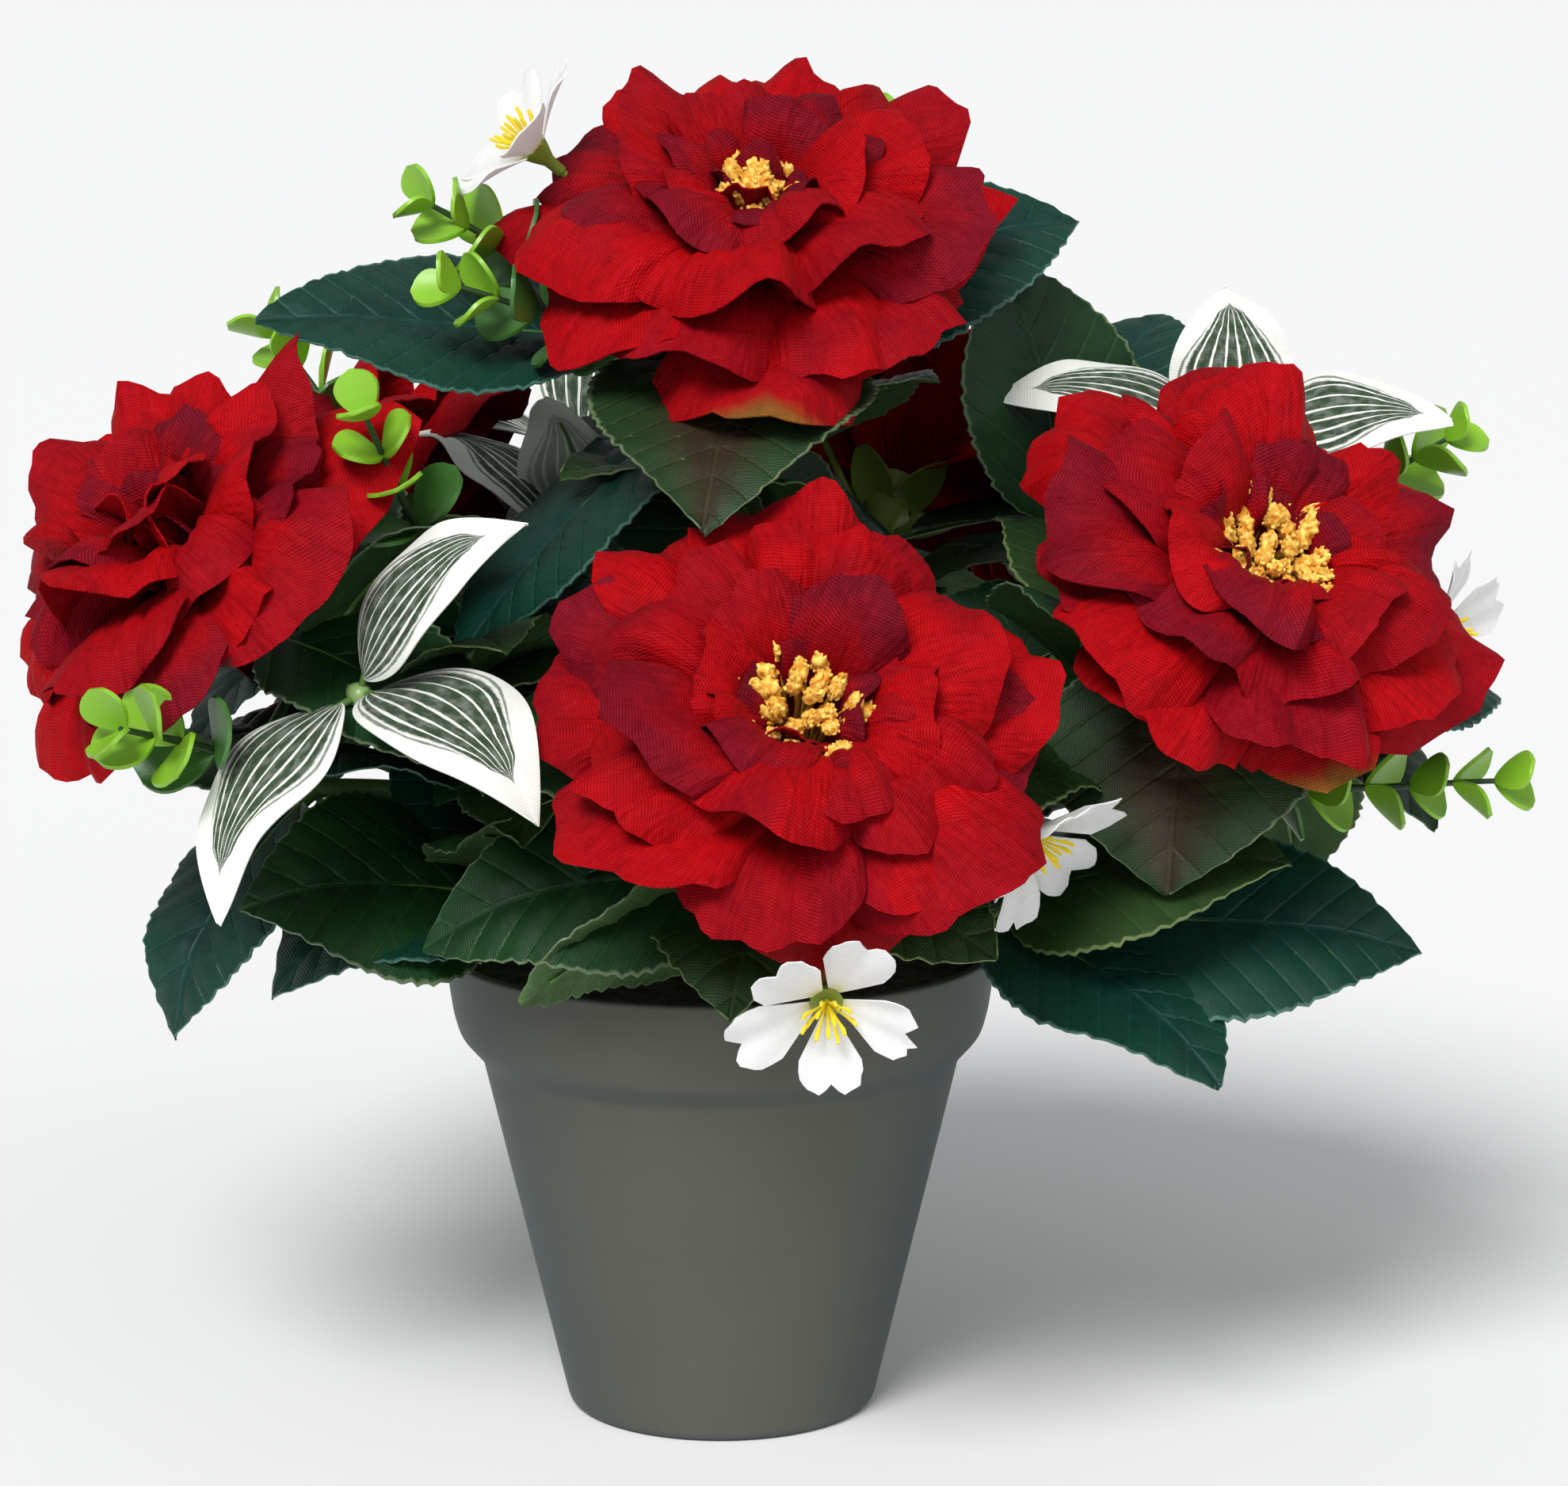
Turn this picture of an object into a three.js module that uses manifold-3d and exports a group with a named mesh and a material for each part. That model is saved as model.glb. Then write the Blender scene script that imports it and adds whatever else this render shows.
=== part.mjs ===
// Artificial camellia in a plastic pot: fabric blooms and leaves on moulded stems.
// The origin is the middle of the pot's underside, with +Z up and the front facing -Y.
// Lengths are in millimetres and angles in degrees.
import * as THREE from 'three';
import { mergeVertices } from 'three/addons/utils/BufferGeometryUtils.js';
import Module from 'manifold-3d';

const wasm = await Module();
wasm.setup();

// ---------------------------------------------------------------- driving dimensions

const GAP = 0.35;                         // clearance kept round every neighbour

const POT = {
  height: 102,
  rimRadius: 60,
  bandHeight: 24,
  // How far the band's outside lies inside the rim's radius at each level above the band's foot.
  bandCurve: [{ inset: 6, level: 3 }, { inset: 3.2, level: 6.5 }, { inset: 2, level: 11 }],
  bandFootRadius: 51.8,
  baseRadius: 33.3,
  edgeRound: 2.5,
  lip: { inset: 1.2, bevel: 0.4, depth: 1 },
  wall: 2.4,
  shoulder: { inset: 2, level: 10 },      // where the band's inside turns in, above its foot
  throatLevel: 2,
  floor: 3,
  sides: 34,
};

const FILL_TOP = POT.height - 4;          // the filler stops just under the rim

// Levels are parts of the stem's height.
const STEM = {
  height: 30,
  lean: 3,                                // how far the head leans to the front
  stations: [
    { level: 0, radius: 15 },
    { level: 0.12, radius: 11.1 },
    { level: 0.3, radius: 8 },
    { level: 0.9, radius: 6 },
    { level: 1, radius: 3.6 },
  ],
  ribs: 5,
  ribDepth: 0.08,
  lowForkDrop: 0.4,                       // how far the low boughs' fork lies under the upper one
  sides: 12,
};

// The pulls bend a bough's curve, as parts of its span: outward and up at its root, and along the
// way it arrives at its tip.
const BOUGH = {
  startRadius: 3.6,
  endRadius: 2,
  rootReach: 3,
  rootSink: 6,
  outwardPull: 0.15,
  upwardPull: 0.25,
  tipPull: 0.3,
  capHeight: 0.2,
  steps: 4,
  sides: 6,
};

// The outline runs from the calyx over the backs of the petals to the rim of the inner cup. It gives
// the part of the radius, the level above the heart and whether the surface faces up or down there.
const BLOOM = {
  radius: 53,
  outline: [
    { share: 0.12, level: -9, faces: -1 },
    { share: 0.62, level: -2.7, faces: -1 },
    { share: 1, level: 8, faces: -1 },
    { share: 0.92, level: 12.8, faces: 1 },
    { share: 0.42, level: 20, faces: 1 },
  ],
  cupFloor: 13,
  lobes: 5,
  lobeDepth: 0.05,
  ovalDepth: 0.03,
  sides: 16,
};

const BLADE = { length: 76, width: 54, thickness: 3.2, stalk: 1.6, arch: 0.09 };

const STRIPED_BLADE = { length: 56, width: 27, thickness: 2.4, stalk: 1.2, arch: 0.16 };

const BLADE_SHARE = 0.92;                 // most of a leaf's reach that its blade may take
const BLADE_SKEW = 0.78;                  // below 1, the widest part lies towards the stalk
const BLADE_FULLNESS = 0.85;              // below 1, the sides are rounder
const BLADE_STATIONS = [0.01, 0.2, 0.52, 0.84];

const SPRIG = { leafReach: 11, waist: 4, taper: 0.5, sides: 6 };

// The outline runs from the stalk's foot to the middle of the open flower.
const FLOWER = {
  outline: [
    { radius: 2, level: 0 },
    { radius: 3.5, level: 7.2 },
    { radius: 12.5, level: 14 },
    { radius: 6.25, level: 15.5 },
  ],
  capHeight: 0.5,
  sides: 8,
};

// Azimuth and reach place a point round the pot's axis, and height is above its underside.
// turn and rise give the direction in which a bloom faces or a leaf points, and roll tips a
// leaf about its own midrib. A bloom's heart stands off the end of its bough.
const BLOOMS = {
  front: { azimuth: -79, reach: 80, height: 160, turn: -85, rise: 40, standOff: 17 },
  top: { azimuth: -66, reach: 16, height: 248, turn: -88, rise: 57, standOff: 22 },
  right: { azimuth: -23, reach: 113, height: 184, turn: -62, rise: 36, standOff: 17 },
  left: { azimuth: -160, reach: 110, height: 188, turn: -140, rise: 46, standOff: 17 },
  back_left: { azimuth: 145, reach: 97, height: 182, turn: 158, rise: 38, standOff: 17 },
  back_right: { azimuth: 22, reach: 130, height: 165, turn: 22, rise: 32, standOff: 17 },
  back: { azimuth: 68, reach: 95, height: 190, turn: 85, rise: 36, standOff: 17 },
};

// Leaves carried close under a bloom.
const COLLARS = {
  front: [
    { turn: 172, rise: 8, reach: 70, roll: -20 },
    { turn: 20, rise: 0, reach: 70, roll: 20 },
    { turn: 95, rise: 42, reach: 66, roll: 0 },
  ],
  top: [
    { turn: -170, rise: 6, reach: 105, roll: -25, arch: 0 },
    { turn: -96, rise: -20, reach: 79, roll: 0, width: 59 },
    { turn: 16, rise: 20, reach: 78, roll: 35 },
    { turn: -153, rise: -42, reach: 96, roll: 2, arch: 0.04 },
  ],
  right: [
    { turn: -104, rise: -60, reach: 56, roll: 0, width: 62 },
    { turn: 35, rise: -13, reach: 88, roll: 40 },
  ],
  left: [
    { turn: 145, rise: 0, reach: 62, roll: -45 },
    { turn: 85, rise: 30, reach: 78, roll: 0 },
    { turn: -36, rise: -20, reach: 66, roll: 15, width: 44 },
  ],
  back_left: [
    { turn: -150, rise: -25, reach: 66, roll: 0 },
    { turn: 75, rise: 0, reach: 80, roll: 0 },
    { turn: 140, rise: -52, reach: 66, roll: 0 },
  ],
  back_right: [
    { turn: -35, rise: -25, reach: 66, roll: 0 },
    { turn: 100, rise: -2, reach: 80, roll: 0 },
    { turn: 45, rise: -55, reach: 66, roll: 0 },
  ],
  back: [
    { turn: -6, rise: 0, reach: 80, roll: 0 },
    { turn: 170, rise: 0, reach: 80, roll: 0 },
    { turn: 88, rise: -44, reach: 76, roll: 0 },
  ],
};

// Leaves on short boughs of their own.
const LOW_SPRAYS = {
  rim_front: {
    azimuth: -78, reach: 52, height: 125,
    leaves: [
      { turn: -172, rise: -6, reach: 72, roll: -42, arch: 0.14, width: 46 },
      { turn: -152, rise: -15, reach: 60, roll: 52, arch: 0.03, width: 38 },
      { turn: -100, rise: -22, reach: 42, roll: 0, width: 42 },
      { turn: -34, rise: -8, reach: 54, roll: 15, width: 46 },
    ],
  },
  rim_right: {
    azimuth: -21, reach: 61, height: 114,
    leaves: [
      { turn: -41, rise: -23, reach: 66, roll: 8 },
      { turn: -4, rise: -2, reach: 92, roll: 38, arch: 0.03 },
      { turn: -22, rise: 15, reach: 68, roll: 25 },
    ],
  },
  rim_left: {
    azimuth: -156, reach: 49, height: 117,
    leaves: [
      { turn: -153, rise: 6, reach: 60, roll: -38 },
      { turn: -160, rise: -14, reach: 54, roll: -15, arch: 0.14 },
      { turn: 150, rise: 0, reach: 76, roll: 0 },
    ],
  },
  left_low: {
    azimuth: -175, reach: 86, height: 136,
    leaves: [
      { turn: -136, rise: -48, reach: 62, roll: 0, width: 42 },
      { turn: 118, rise: 5, reach: 56, roll: -20 },
    ],
  },
  rim_back_left: {
    azimuth: 125, reach: 52, height: 118,
    leaves: [
      { turn: 118, rise: -10, reach: 78, roll: 0 },
      { turn: 165, rise: -16, reach: 82, roll: 0 },
      { turn: 80, rise: -20, reach: 66, roll: 0 },
    ],
  },
  rim_back_right: {
    azimuth: 45, reach: 54, height: 116,
    leaves: [
      { turn: 22, rise: -12, reach: 82, roll: 0 },
      { turn: 62, rise: -14, reach: 76, roll: 0 },
      { turn: -5, rise: 10, reach: 80, roll: 0 },
    ],
  },
};

// A pair of leaves that rises behind the right bloom.
const HIGH_SPRAY = {
  azimuth: 12, reach: 75, height: 186,
  leaves: [
    { turn: 160, rise: 76, reach: 68, roll: -28 },
    { turn: 60, rise: 42, reach: 72, roll: 0 },
  ],
};

const STRIPED_SPRAYS = {
  left: {
    azimuth: -139, reach: 95, height: 167,
    leaves: [
      { turn: -17, rise: 48, reach: 50, roll: 45 },
      { turn: -132, rise: -42, reach: 56, roll: 0 },
      { turn: -45, rise: -16, reach: 57, roll: 15, width: 32 },
    ],
  },
  right: {
    azimuth: 5, reach: 110, height: 207,
    leaves: [
      { turn: 97, rise: 72, reach: 38, roll: 0 },
      { turn: -171, rise: 16, reach: 53, roll: -35 },
      { turn: -3, rise: 9, reach: 48, roll: 35 },
    ],
  },
  middle: {
    azimuth: 152, reach: 34, height: 184,
    leaves: [
      { turn: -120, rise: 66, reach: 40, roll: 0 },
      { turn: 150, rise: 30, reach: 50, roll: 0 },
    ],
  },
  back: {
    azimuth: 112, reach: 88, height: 196,
    leaves: [
      { turn: 80, rise: 50, reach: 54, roll: 0 },
      { turn: 170, rise: 10, reach: 56, roll: 0 },
      { turn: 120, rise: -30, reach: 56, roll: 0 },
    ],
  },
};

const SPRIGS = {
  left_upper: { azimuth: -152, reach: 69, height: 195, turn: -116, rise: 51, length: 36, pairs: 3 },
  left_front: { azimuth: -145, reach: 120, height: 156, turn: -128, rise: 18, length: 30, pairs: 3 },
  far_left: { azimuth: 150, reach: 94, height: 207, turn: 165, rise: 50, length: 30, pairs: 3 },
  top_left: { azimuth: -172, reach: 36, height: 249, turn: -157, rise: 27, length: 30, pairs: 3 },
  top_front: { azimuth: -130, reach: 26, height: 235, turn: -158, rise: 17, length: 42, pairs: 4 },
  top_back: { azimuth: 50, reach: 38, height: 256, turn: -20, rise: 60, length: 20, pairs: 2 },
  right: { azimuth: -2, reach: 114, height: 138, turn: -8, rise: 2, length: 54, pairs: 5 },
  right_back: { azimuth: 12, reach: 138, height: 196, turn: -13, rise: 29, length: 28, pairs: 3 },
  back: { azimuth: 96, reach: 112, height: 214, turn: 100, rise: 50, length: 36, pairs: 3 },
  back_low: { azimuth: 108, reach: 108, height: 140, turn: 112, rise: -8, length: 40, pairs: 4 },
};

const FLOWERS = {
  upper_left: { azimuth: -167, reach: 34, height: 269, turn: -166, rise: 40 },
  front: { azimuth: -77, reach: 98, height: 116, turn: -90, rise: -24 },
  front_right: { azimuth: -46, reach: 85, height: 143, turn: -40, rise: -38 },
  far_right: { azimuth: -1, reach: 146, height: 170, turn: -28, rise: -4 },
  back: { azimuth: 80, reach: 100, height: 226, turn: 80, rise: 45 },
};

// ---------------------------------------------------------------- directions and places

const UP = new THREE.Vector3(0, 0, 1);

const radians = THREE.MathUtils.degToRad;

function direction({ turn, rise }) {
  const flat = Math.cos(radians(rise));
  return new THREE.Vector3(
    flat * Math.cos(radians(turn)),
    flat * Math.sin(radians(turn)),
    Math.sin(radians(rise)),
  );
}

function place({ azimuth, reach, height }) {
  return new THREE.Vector3(reach * Math.cos(radians(azimuth)), reach * Math.sin(radians(azimuth)), height);
}

// Two axes square to a direction: one is level, and the other points as far up as it can.
function sideways(along) {
  const side = new THREE.Vector3().crossVectors(UP, along).normalize();
  return { side, over: new THREE.Vector3().crossVectors(along, side) };
}

// ---------------------------------------------------------------- closed bodies

// Skins a row of rings, each a list of the same number of points, and closes both ends on a point.
function loft(start, rings, end) {
  const sides = rings[0].length;
  const points = [start, ...rings.flat(), end];
  const last = points.length - 1;
  const at = (ring, side) => 1 + ring * sides + (side % sides);
  const faces = [];
  for (let side = 0; side < sides; side += 1) {
    faces.push(0, at(0, side + 1), at(0, side));
    for (let ring = 0; ring + 1 < rings.length; ring += 1) {
      faces.push(at(ring, side), at(ring, side + 1), at(ring + 1, side + 1));
      faces.push(at(ring, side), at(ring + 1, side + 1), at(ring + 1, side));
    }
    faces.push(last, at(rings.length - 1, side), at(rings.length - 1, side + 1));
  }
  const geometry = new THREE.BufferGeometry().setFromPoints(points);
  geometry.setIndex(faces);
  return toSolid(geometry);
}

function toSolid(geometry) {
  geometry.deleteAttribute('normal');
  geometry.deleteAttribute('uv');
  const merged = mergeVertices(geometry);
  const corners = merged.index.array;
  const faces = [];
  for (let i = 0; i < corners.length; i += 3) {
    const [a, b, c] = corners.slice(i, i + 3);
    if (a !== b && b !== c && c !== a) faces.push(a, b, c);
  }
  const vertProperties = new Float32Array(merged.attributes.position.array);
  return new wasm.Manifold(new wasm.Mesh({ numProp: 3, vertProperties, triVerts: new Uint32Array(faces) }));
}

function ring(centre, side, over, width, height, sides, wave = () => 1) {
  return Array.from({ length: sides }, (_, step) => {
    const angle = (2 * Math.PI * step) / sides;
    return centre.clone()
      .addScaledVector(side, width * Math.cos(angle) * wave(angle))
      .addScaledVector(over, height * Math.sin(angle) * wave(angle));
  });
}

function biggestPiece(solid) {
  return solid.decompose().reduce((best, piece) => (piece.volume() > best.volume() ? piece : best));
}

// ---------------------------------------------------------------- pot, filler and stem

function turned(profile, grow) {
  const points = profile.map(([radius, height]) => {
    return new THREE.Vector2(radius > 0 ? radius + grow : 0, height);
  });
  return toSolid(new THREE.LatheGeometry(points, POT.sides).rotateX(Math.PI / 2));
}

const bandFoot = POT.height - POT.bandHeight;

// The body's straight side and the band's rounded foot, from the underside to the rim.
const edgeBulge = POT.edgeRound * (1 - Math.SQRT1_2);
const potOutside = [
  [POT.baseRadius - POT.edgeRound, 0],
  [POT.baseRadius - edgeBulge, edgeBulge],
  [POT.baseRadius, POT.edgeRound],
  [POT.bandFootRadius, bandFoot],
  ...POT.bandCurve.map(({ inset, level }) => [POT.rimRadius - inset, bandFoot + level]),
  [POT.rimRadius - POT.lip.bevel, POT.height - POT.lip.depth],
  [POT.rimRadius - POT.lip.inset, POT.height],
];

const potInside = [
  [POT.rimRadius - POT.wall, POT.height],
  [POT.rimRadius - POT.shoulder.inset - POT.wall, bandFoot + POT.shoulder.level],
  [POT.bandFootRadius - POT.wall, bandFoot + POT.throatLevel],
  [POT.baseRadius - POT.wall, POT.floor],
];

function insideRadius(height) {
  const upper = potInside.findIndex(([, level]) => level <= height);
  const [topRadius, top] = potInside[upper - 1];
  const [lowRadius, low] = potInside[upper];
  return lowRadius + ((topRadius - lowRadius) * (height - low)) / (top - low);
}

function makePot() {
  return turned([[0, 0], ...potOutside, ...potInside, [0, POT.floor]], 0);
}

// The pot as a solid plug, which keeps every other piece out of its wall and its hollow.
function makePotKeepOut() {
  return turned([[0, 0], ...potOutside, [0, POT.height]], GAP);
}

function makeFill(grow) {
  const [, shoulder, throat, foot] = potInside;
  const profile = [
    [0, POT.floor + GAP],
    [foot[0], POT.floor + GAP],
    throat,
    shoulder,
    [insideRadius(FILL_TOP), FILL_TOP + grow],
    [0, FILL_TOP + grow],
  ];
  return turned(profile, grow - GAP);
}

const stemFoot = FILL_TOP + GAP;
const stemHead = new THREE.Vector3(0, -STEM.lean, stemFoot + STEM.height);

function makeStem(grow) {
  const foot = new THREE.Vector3(0, 0, stemFoot);
  const rightward = new THREE.Vector3(1, 0, 0);
  const backward = new THREE.Vector3(0, 1, 0);
  const ribbed = (angle) => 1 + STEM.ribDepth * Math.cos(STEM.ribs * angle);
  const rings = STEM.stations.map(({ level, radius }) => {
    const centre = foot.clone().lerp(stemHead, level);
    return ring(centre, rightward, backward, radius + grow, radius + grow, STEM.sides, ribbed);
  });
  return loft(foot, rings, stemHead.clone().addScaledVector(UP, grow));
}

// ---------------------------------------------------------------- boughs

function makeBough(tip, arriving, startHeight, grow) {
  const outward = new THREE.Vector3(tip.x, tip.y, 0).normalize();
  const fork = new THREE.Vector3(0, -STEM.lean, startHeight);
  const root = fork.addScaledVector(outward, BOUGH.rootReach);
  const span = root.distanceTo(tip);
  const setOff = outward.clone().multiplyScalar(BOUGH.outwardPull).addScaledVector(UP, BOUGH.upwardPull);
  const route = new THREE.CubicBezierCurve3(
    root,
    root.clone().addScaledVector(setOff, span),
    tip.clone().addScaledVector(arriving, -span * BOUGH.tipPull),
    tip,
  );
  const rings = Array.from({ length: BOUGH.steps + 1 }, (_, step) => {
    const along = step / BOUGH.steps;
    const { side, over } = sideways(route.getTangent(along));
    const radius = THREE.MathUtils.lerp(BOUGH.startRadius, BOUGH.endRadius, along) + grow;
    return ring(route.getPoint(along), side, over, radius, radius, BOUGH.sides);
  });
  const end = tip.clone().addScaledVector(route.getTangent(1), BOUGH.capHeight + grow);
  return loft(root, rings, end);
}

// ---------------------------------------------------------------- blooms

function bloomFoot(bloom) {
  return place(bloom).addScaledVector(direction(bloom), -bloom.standOff);
}

// An uneven dish round the bloom's axis.
function makeBloom(bloom, seed, grow) {
  const axis = direction(bloom);
  const heart = place(bloom);
  const { side, over } = sideways(axis);
  const lobed = (angle) => 1 + BLOOM.lobeDepth * Math.cos(BLOOM.lobes * angle + seed)
    + BLOOM.ovalDepth * Math.cos(2 * angle - seed);
  const rings = BLOOM.outline.map(({ share, level, faces }) => {
    const centre = heart.clone().addScaledVector(axis, level + faces * grow);
    const width = share * BLOOM.radius + grow;
    return ring(centre, side, over, width, width, BLOOM.sides, lobed);
  });
  const back = heart.clone().addScaledVector(axis, BLOOM.outline[0].level - grow);
  return loft(back, rings, heart.clone().addScaledVector(axis, BLOOM.cupFloor + grow));
}

// ---------------------------------------------------------------- leaves

// Half the width of an egg-shaped leaf along its blade, as a part of its widest half.
function bladeOutline(along) {
  return Math.sin(Math.PI * along ** BLADE_SKEW) ** BLADE_FULLNESS;
}

// One arched blade on its stalk, with a diamond section: two thin edges and a thicker midrib.
function makeLeaf(foot, leaf, kind, grow) {
  const along = direction(leaf);
  const axes = sideways(along);
  const side = axes.side.applyAxisAngle(along, radians(leaf.roll));
  const over = axes.over.applyAxisAngle(along, radians(leaf.roll));
  const length = Math.min(kind.length, leaf.reach * BLADE_SHARE);
  const stalkLength = leaf.reach - length;
  const halfWidth = (leaf.width ?? kind.width) / 2;
  const arch = leaf.arch ?? kind.arch;
  const section = (reach, swell) => {
    const share = reach / leaf.reach;
    const centre = foot.clone()
      .addScaledVector(along, reach)
      .addScaledVector(over, 4 * arch * leaf.reach * share * (1 - share));
    const width = Math.max(kind.stalk, halfWidth * swell) + grow;
    const thickness = Math.max(kind.stalk, (kind.thickness / 2) * swell) + grow;
    return ring(centre, side, over, width, thickness, 4);
  };
  const blade = BLADE_STATIONS.map((at) => section(stalkLength + at * length, bladeOutline(at)));
  const rings = [section(0, 0), ...blade];
  const back = foot.clone().addScaledVector(along, -kind.stalk - grow);
  return loft(back, rings, foot.clone().addScaledVector(along, leaf.reach + grow));
}

function makeSpray(foot, leaves, kind, grow) {
  return leaves
    .map((leaf) => makeLeaf(foot, leaf, kind, grow))
    .reduce((joined, leaf) => joined.add(leaf));
}

// ---------------------------------------------------------------- sprigs and small flowers

// A stem's crossed pairs of spoon-shaped leaves as one body that swells at each pair.
function makeSprig(sprig, grow) {
  const foot = place(sprig);
  const along = direction(sprig);
  const { side, over } = sideways(along);
  const thin = SPRIG.waist + grow;
  const rings = Array.from({ length: sprig.pairs }, (_, pair) => {
    const centre = foot.clone().addScaledVector(along, ((pair + 0.5) * sprig.length) / sprig.pairs);
    const wide = SPRIG.leafReach * (1 - (SPRIG.taper * pair) / sprig.pairs) + grow;
    const level = pair % 2 === 0;
    return ring(centre, side, over, level ? wide : thin, level ? thin : wide, SPRIG.sides);
  });
  const back = foot.clone().addScaledVector(along, -grow);
  return loft(back, rings, foot.clone().addScaledVector(along, sprig.length + grow));
}

function makeFlower(flower, grow) {
  const foot = place(flower);
  const axis = direction(flower);
  const { side, over } = sideways(axis);
  const rings = FLOWER.outline.map(({ radius, level }) => {
    const width = radius + grow;
    return ring(foot.clone().addScaledVector(axis, level), side, over, width, width, FLOWER.sides);
  });
  const cap = FLOWER.capHeight + grow;
  const middle = foot.clone().addScaledVector(axis, FLOWER.outline.at(-1).level + cap);
  return loft(foot.clone().addScaledVector(axis, -cap), rings, middle);
}

// ---------------------------------------------------------------- assembly

const finish = (color, roughness) => new THREE.MeshStandardMaterial({ color, roughness, metalness: 0 });

const MATERIALS = {
  pot: finish(0x58564c, 0.55),
  fill: finish(0x4a4038, 0.95),
  stem: finish(0x4f6a2a, 0.6),
  petals: finish(0xbe1423, 0.8),
  leaves: finish(0x1f3a26, 0.6),
  striped: finish(0x7fa07a, 0.7),
  sprig: finish(0x82b928, 0.5),
  flower: finish(0xf2f0ea, 0.8),
};

const camellia = new THREE.Group();

const keepOut = [makePotKeepOut()];

// Cuts a body back from every neighbour placed before it, and hangs it in the model at its anchor.
function addPiece(name, make, material, anchor) {
  const whole = keepOut.reduce((body, neighbour) => body.subtract(neighbour), make(0));
  addMesh(name, biggestPiece(whole), material, anchor);
  keepOut.push(make(GAP));
}

function addMesh(name, solid, material, anchor) {
  const { vertProperties, triVerts } = solid.getMesh();
  const geometry = new THREE.BufferGeometry();
  geometry.setAttribute('position', new THREE.BufferAttribute(new Float32Array(vertProperties), 3));
  geometry.setIndex(new THREE.BufferAttribute(new Uint32Array(triVerts), 1));
  geometry.translate(-anchor.x, -anchor.y, -anchor.z);
  geometry.computeVertexNormals();
  const mesh = new THREE.Mesh(geometry, material);
  mesh.name = name;
  mesh.position.copy(anchor);
  camellia.add(mesh);
}

const origin = new THREE.Vector3();
addMesh('pot', makePot(), MATERIALS.pot, origin);
addMesh('pot_fill', makeFill(0), MATERIALS.fill, origin);
addPiece('main_stem', makeStem, MATERIALS.stem, new THREE.Vector3(0, 0, stemFoot));

const forkHeight = stemHead.z - BOUGH.rootSink;
const lowForkHeight = forkHeight - STEM.height * STEM.lowForkDrop;

for (const [name, bloom] of Object.entries(BLOOMS)) {
  const foot = bloomFoot(bloom);
  const arriving = direction(bloom);
  addPiece(`bough_${name}`, (grow) => makeBough(foot, arriving, forkHeight, grow), MATERIALS.stem, foot);
}

for (const [name, spray] of Object.entries(LOW_SPRAYS)) {
  const foot = place(spray);
  const arriving = foot.clone().setZ(0).normalize();
  addPiece(`bough_${name}`, (grow) => makeBough(foot, arriving, lowForkHeight, grow), MATERIALS.stem, foot);
}

Object.entries(BLOOMS).forEach(([name, bloom], seed) => {
  addPiece(`bloom_${name}`, (grow) => makeBloom(bloom, seed, grow), MATERIALS.petals, place(bloom));
});

for (const [name, flower] of Object.entries(FLOWERS)) {
  addPiece(`flower_${name}`, (grow) => makeFlower(flower, grow), MATERIALS.flower, place(flower));
}

for (const [name, leaves] of Object.entries(COLLARS)) {
  const foot = bloomFoot(BLOOMS[name]);
  addPiece(`leaves_${name}`, (grow) => makeSpray(foot, leaves, BLADE, grow), MATERIALS.leaves, foot);
}

for (const [name, spray] of Object.entries({ ...LOW_SPRAYS, right_high: HIGH_SPRAY })) {
  const foot = place(spray);
  addPiece(`leaves_${name}`, (grow) => makeSpray(foot, spray.leaves, BLADE, grow), MATERIALS.leaves, foot);
}

for (const [name, spray] of Object.entries(STRIPED_SPRAYS)) {
  const foot = place(spray);
  addPiece(`striped_${name}`, (grow) => makeSpray(foot, spray.leaves, STRIPED_BLADE, grow),
    MATERIALS.striped, foot);
}

for (const [name, sprig] of Object.entries(SPRIGS)) {
  addPiece(`sprig_${name}`, (grow) => makeSprig(sprig, grow), MATERIALS.sprig, place(sprig));
}

export default camellia;
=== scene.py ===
from functools import partialmethod
import itertools
import math

import bpy
import numpy as np
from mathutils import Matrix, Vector


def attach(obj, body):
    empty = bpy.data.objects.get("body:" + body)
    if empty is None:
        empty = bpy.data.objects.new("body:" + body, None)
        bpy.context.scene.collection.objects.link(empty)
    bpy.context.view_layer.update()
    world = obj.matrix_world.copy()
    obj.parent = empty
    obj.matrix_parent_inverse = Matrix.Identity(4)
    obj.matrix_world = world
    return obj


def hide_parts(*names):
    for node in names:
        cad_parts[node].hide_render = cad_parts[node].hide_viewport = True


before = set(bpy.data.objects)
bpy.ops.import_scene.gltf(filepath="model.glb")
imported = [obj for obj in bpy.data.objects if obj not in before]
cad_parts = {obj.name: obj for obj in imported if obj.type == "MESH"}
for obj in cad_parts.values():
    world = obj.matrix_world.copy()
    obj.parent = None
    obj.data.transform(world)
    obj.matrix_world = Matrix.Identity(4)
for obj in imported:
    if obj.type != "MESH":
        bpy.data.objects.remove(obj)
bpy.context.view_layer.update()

MM = 0.001
UP = np.array([0.0, 0.0, 1.0])
GOLDEN_TURN = 2.39996        # the angle in radians that spreads stamens evenly


# ---------------- places and directions

def heading(turn, rise):
    """The direction turn degrees round from +X and rise degrees above level."""
    turn, rise = math.radians(turn), math.radians(rise)
    flat = math.cos(rise)
    return np.array([flat * math.cos(turn), flat * math.sin(turn), math.sin(rise)])


def spot(azimuth, reach, height):
    """The point at an azimuth and reach from the pot's middle line, at a height."""
    azimuth = math.radians(azimuth)
    return MM * np.array([reach * math.cos(azimuth), reach * math.sin(azimuth), height])


def unit(vectors):
    return vectors / np.maximum(np.linalg.norm(vectors, axis=-1, keepdims=True), 1e-12)


def spoke(side, over, angle):
    """The direction at an angle, in radians, in the plane of two axes."""
    return side * math.cos(angle) + over * math.sin(angle)


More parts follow.
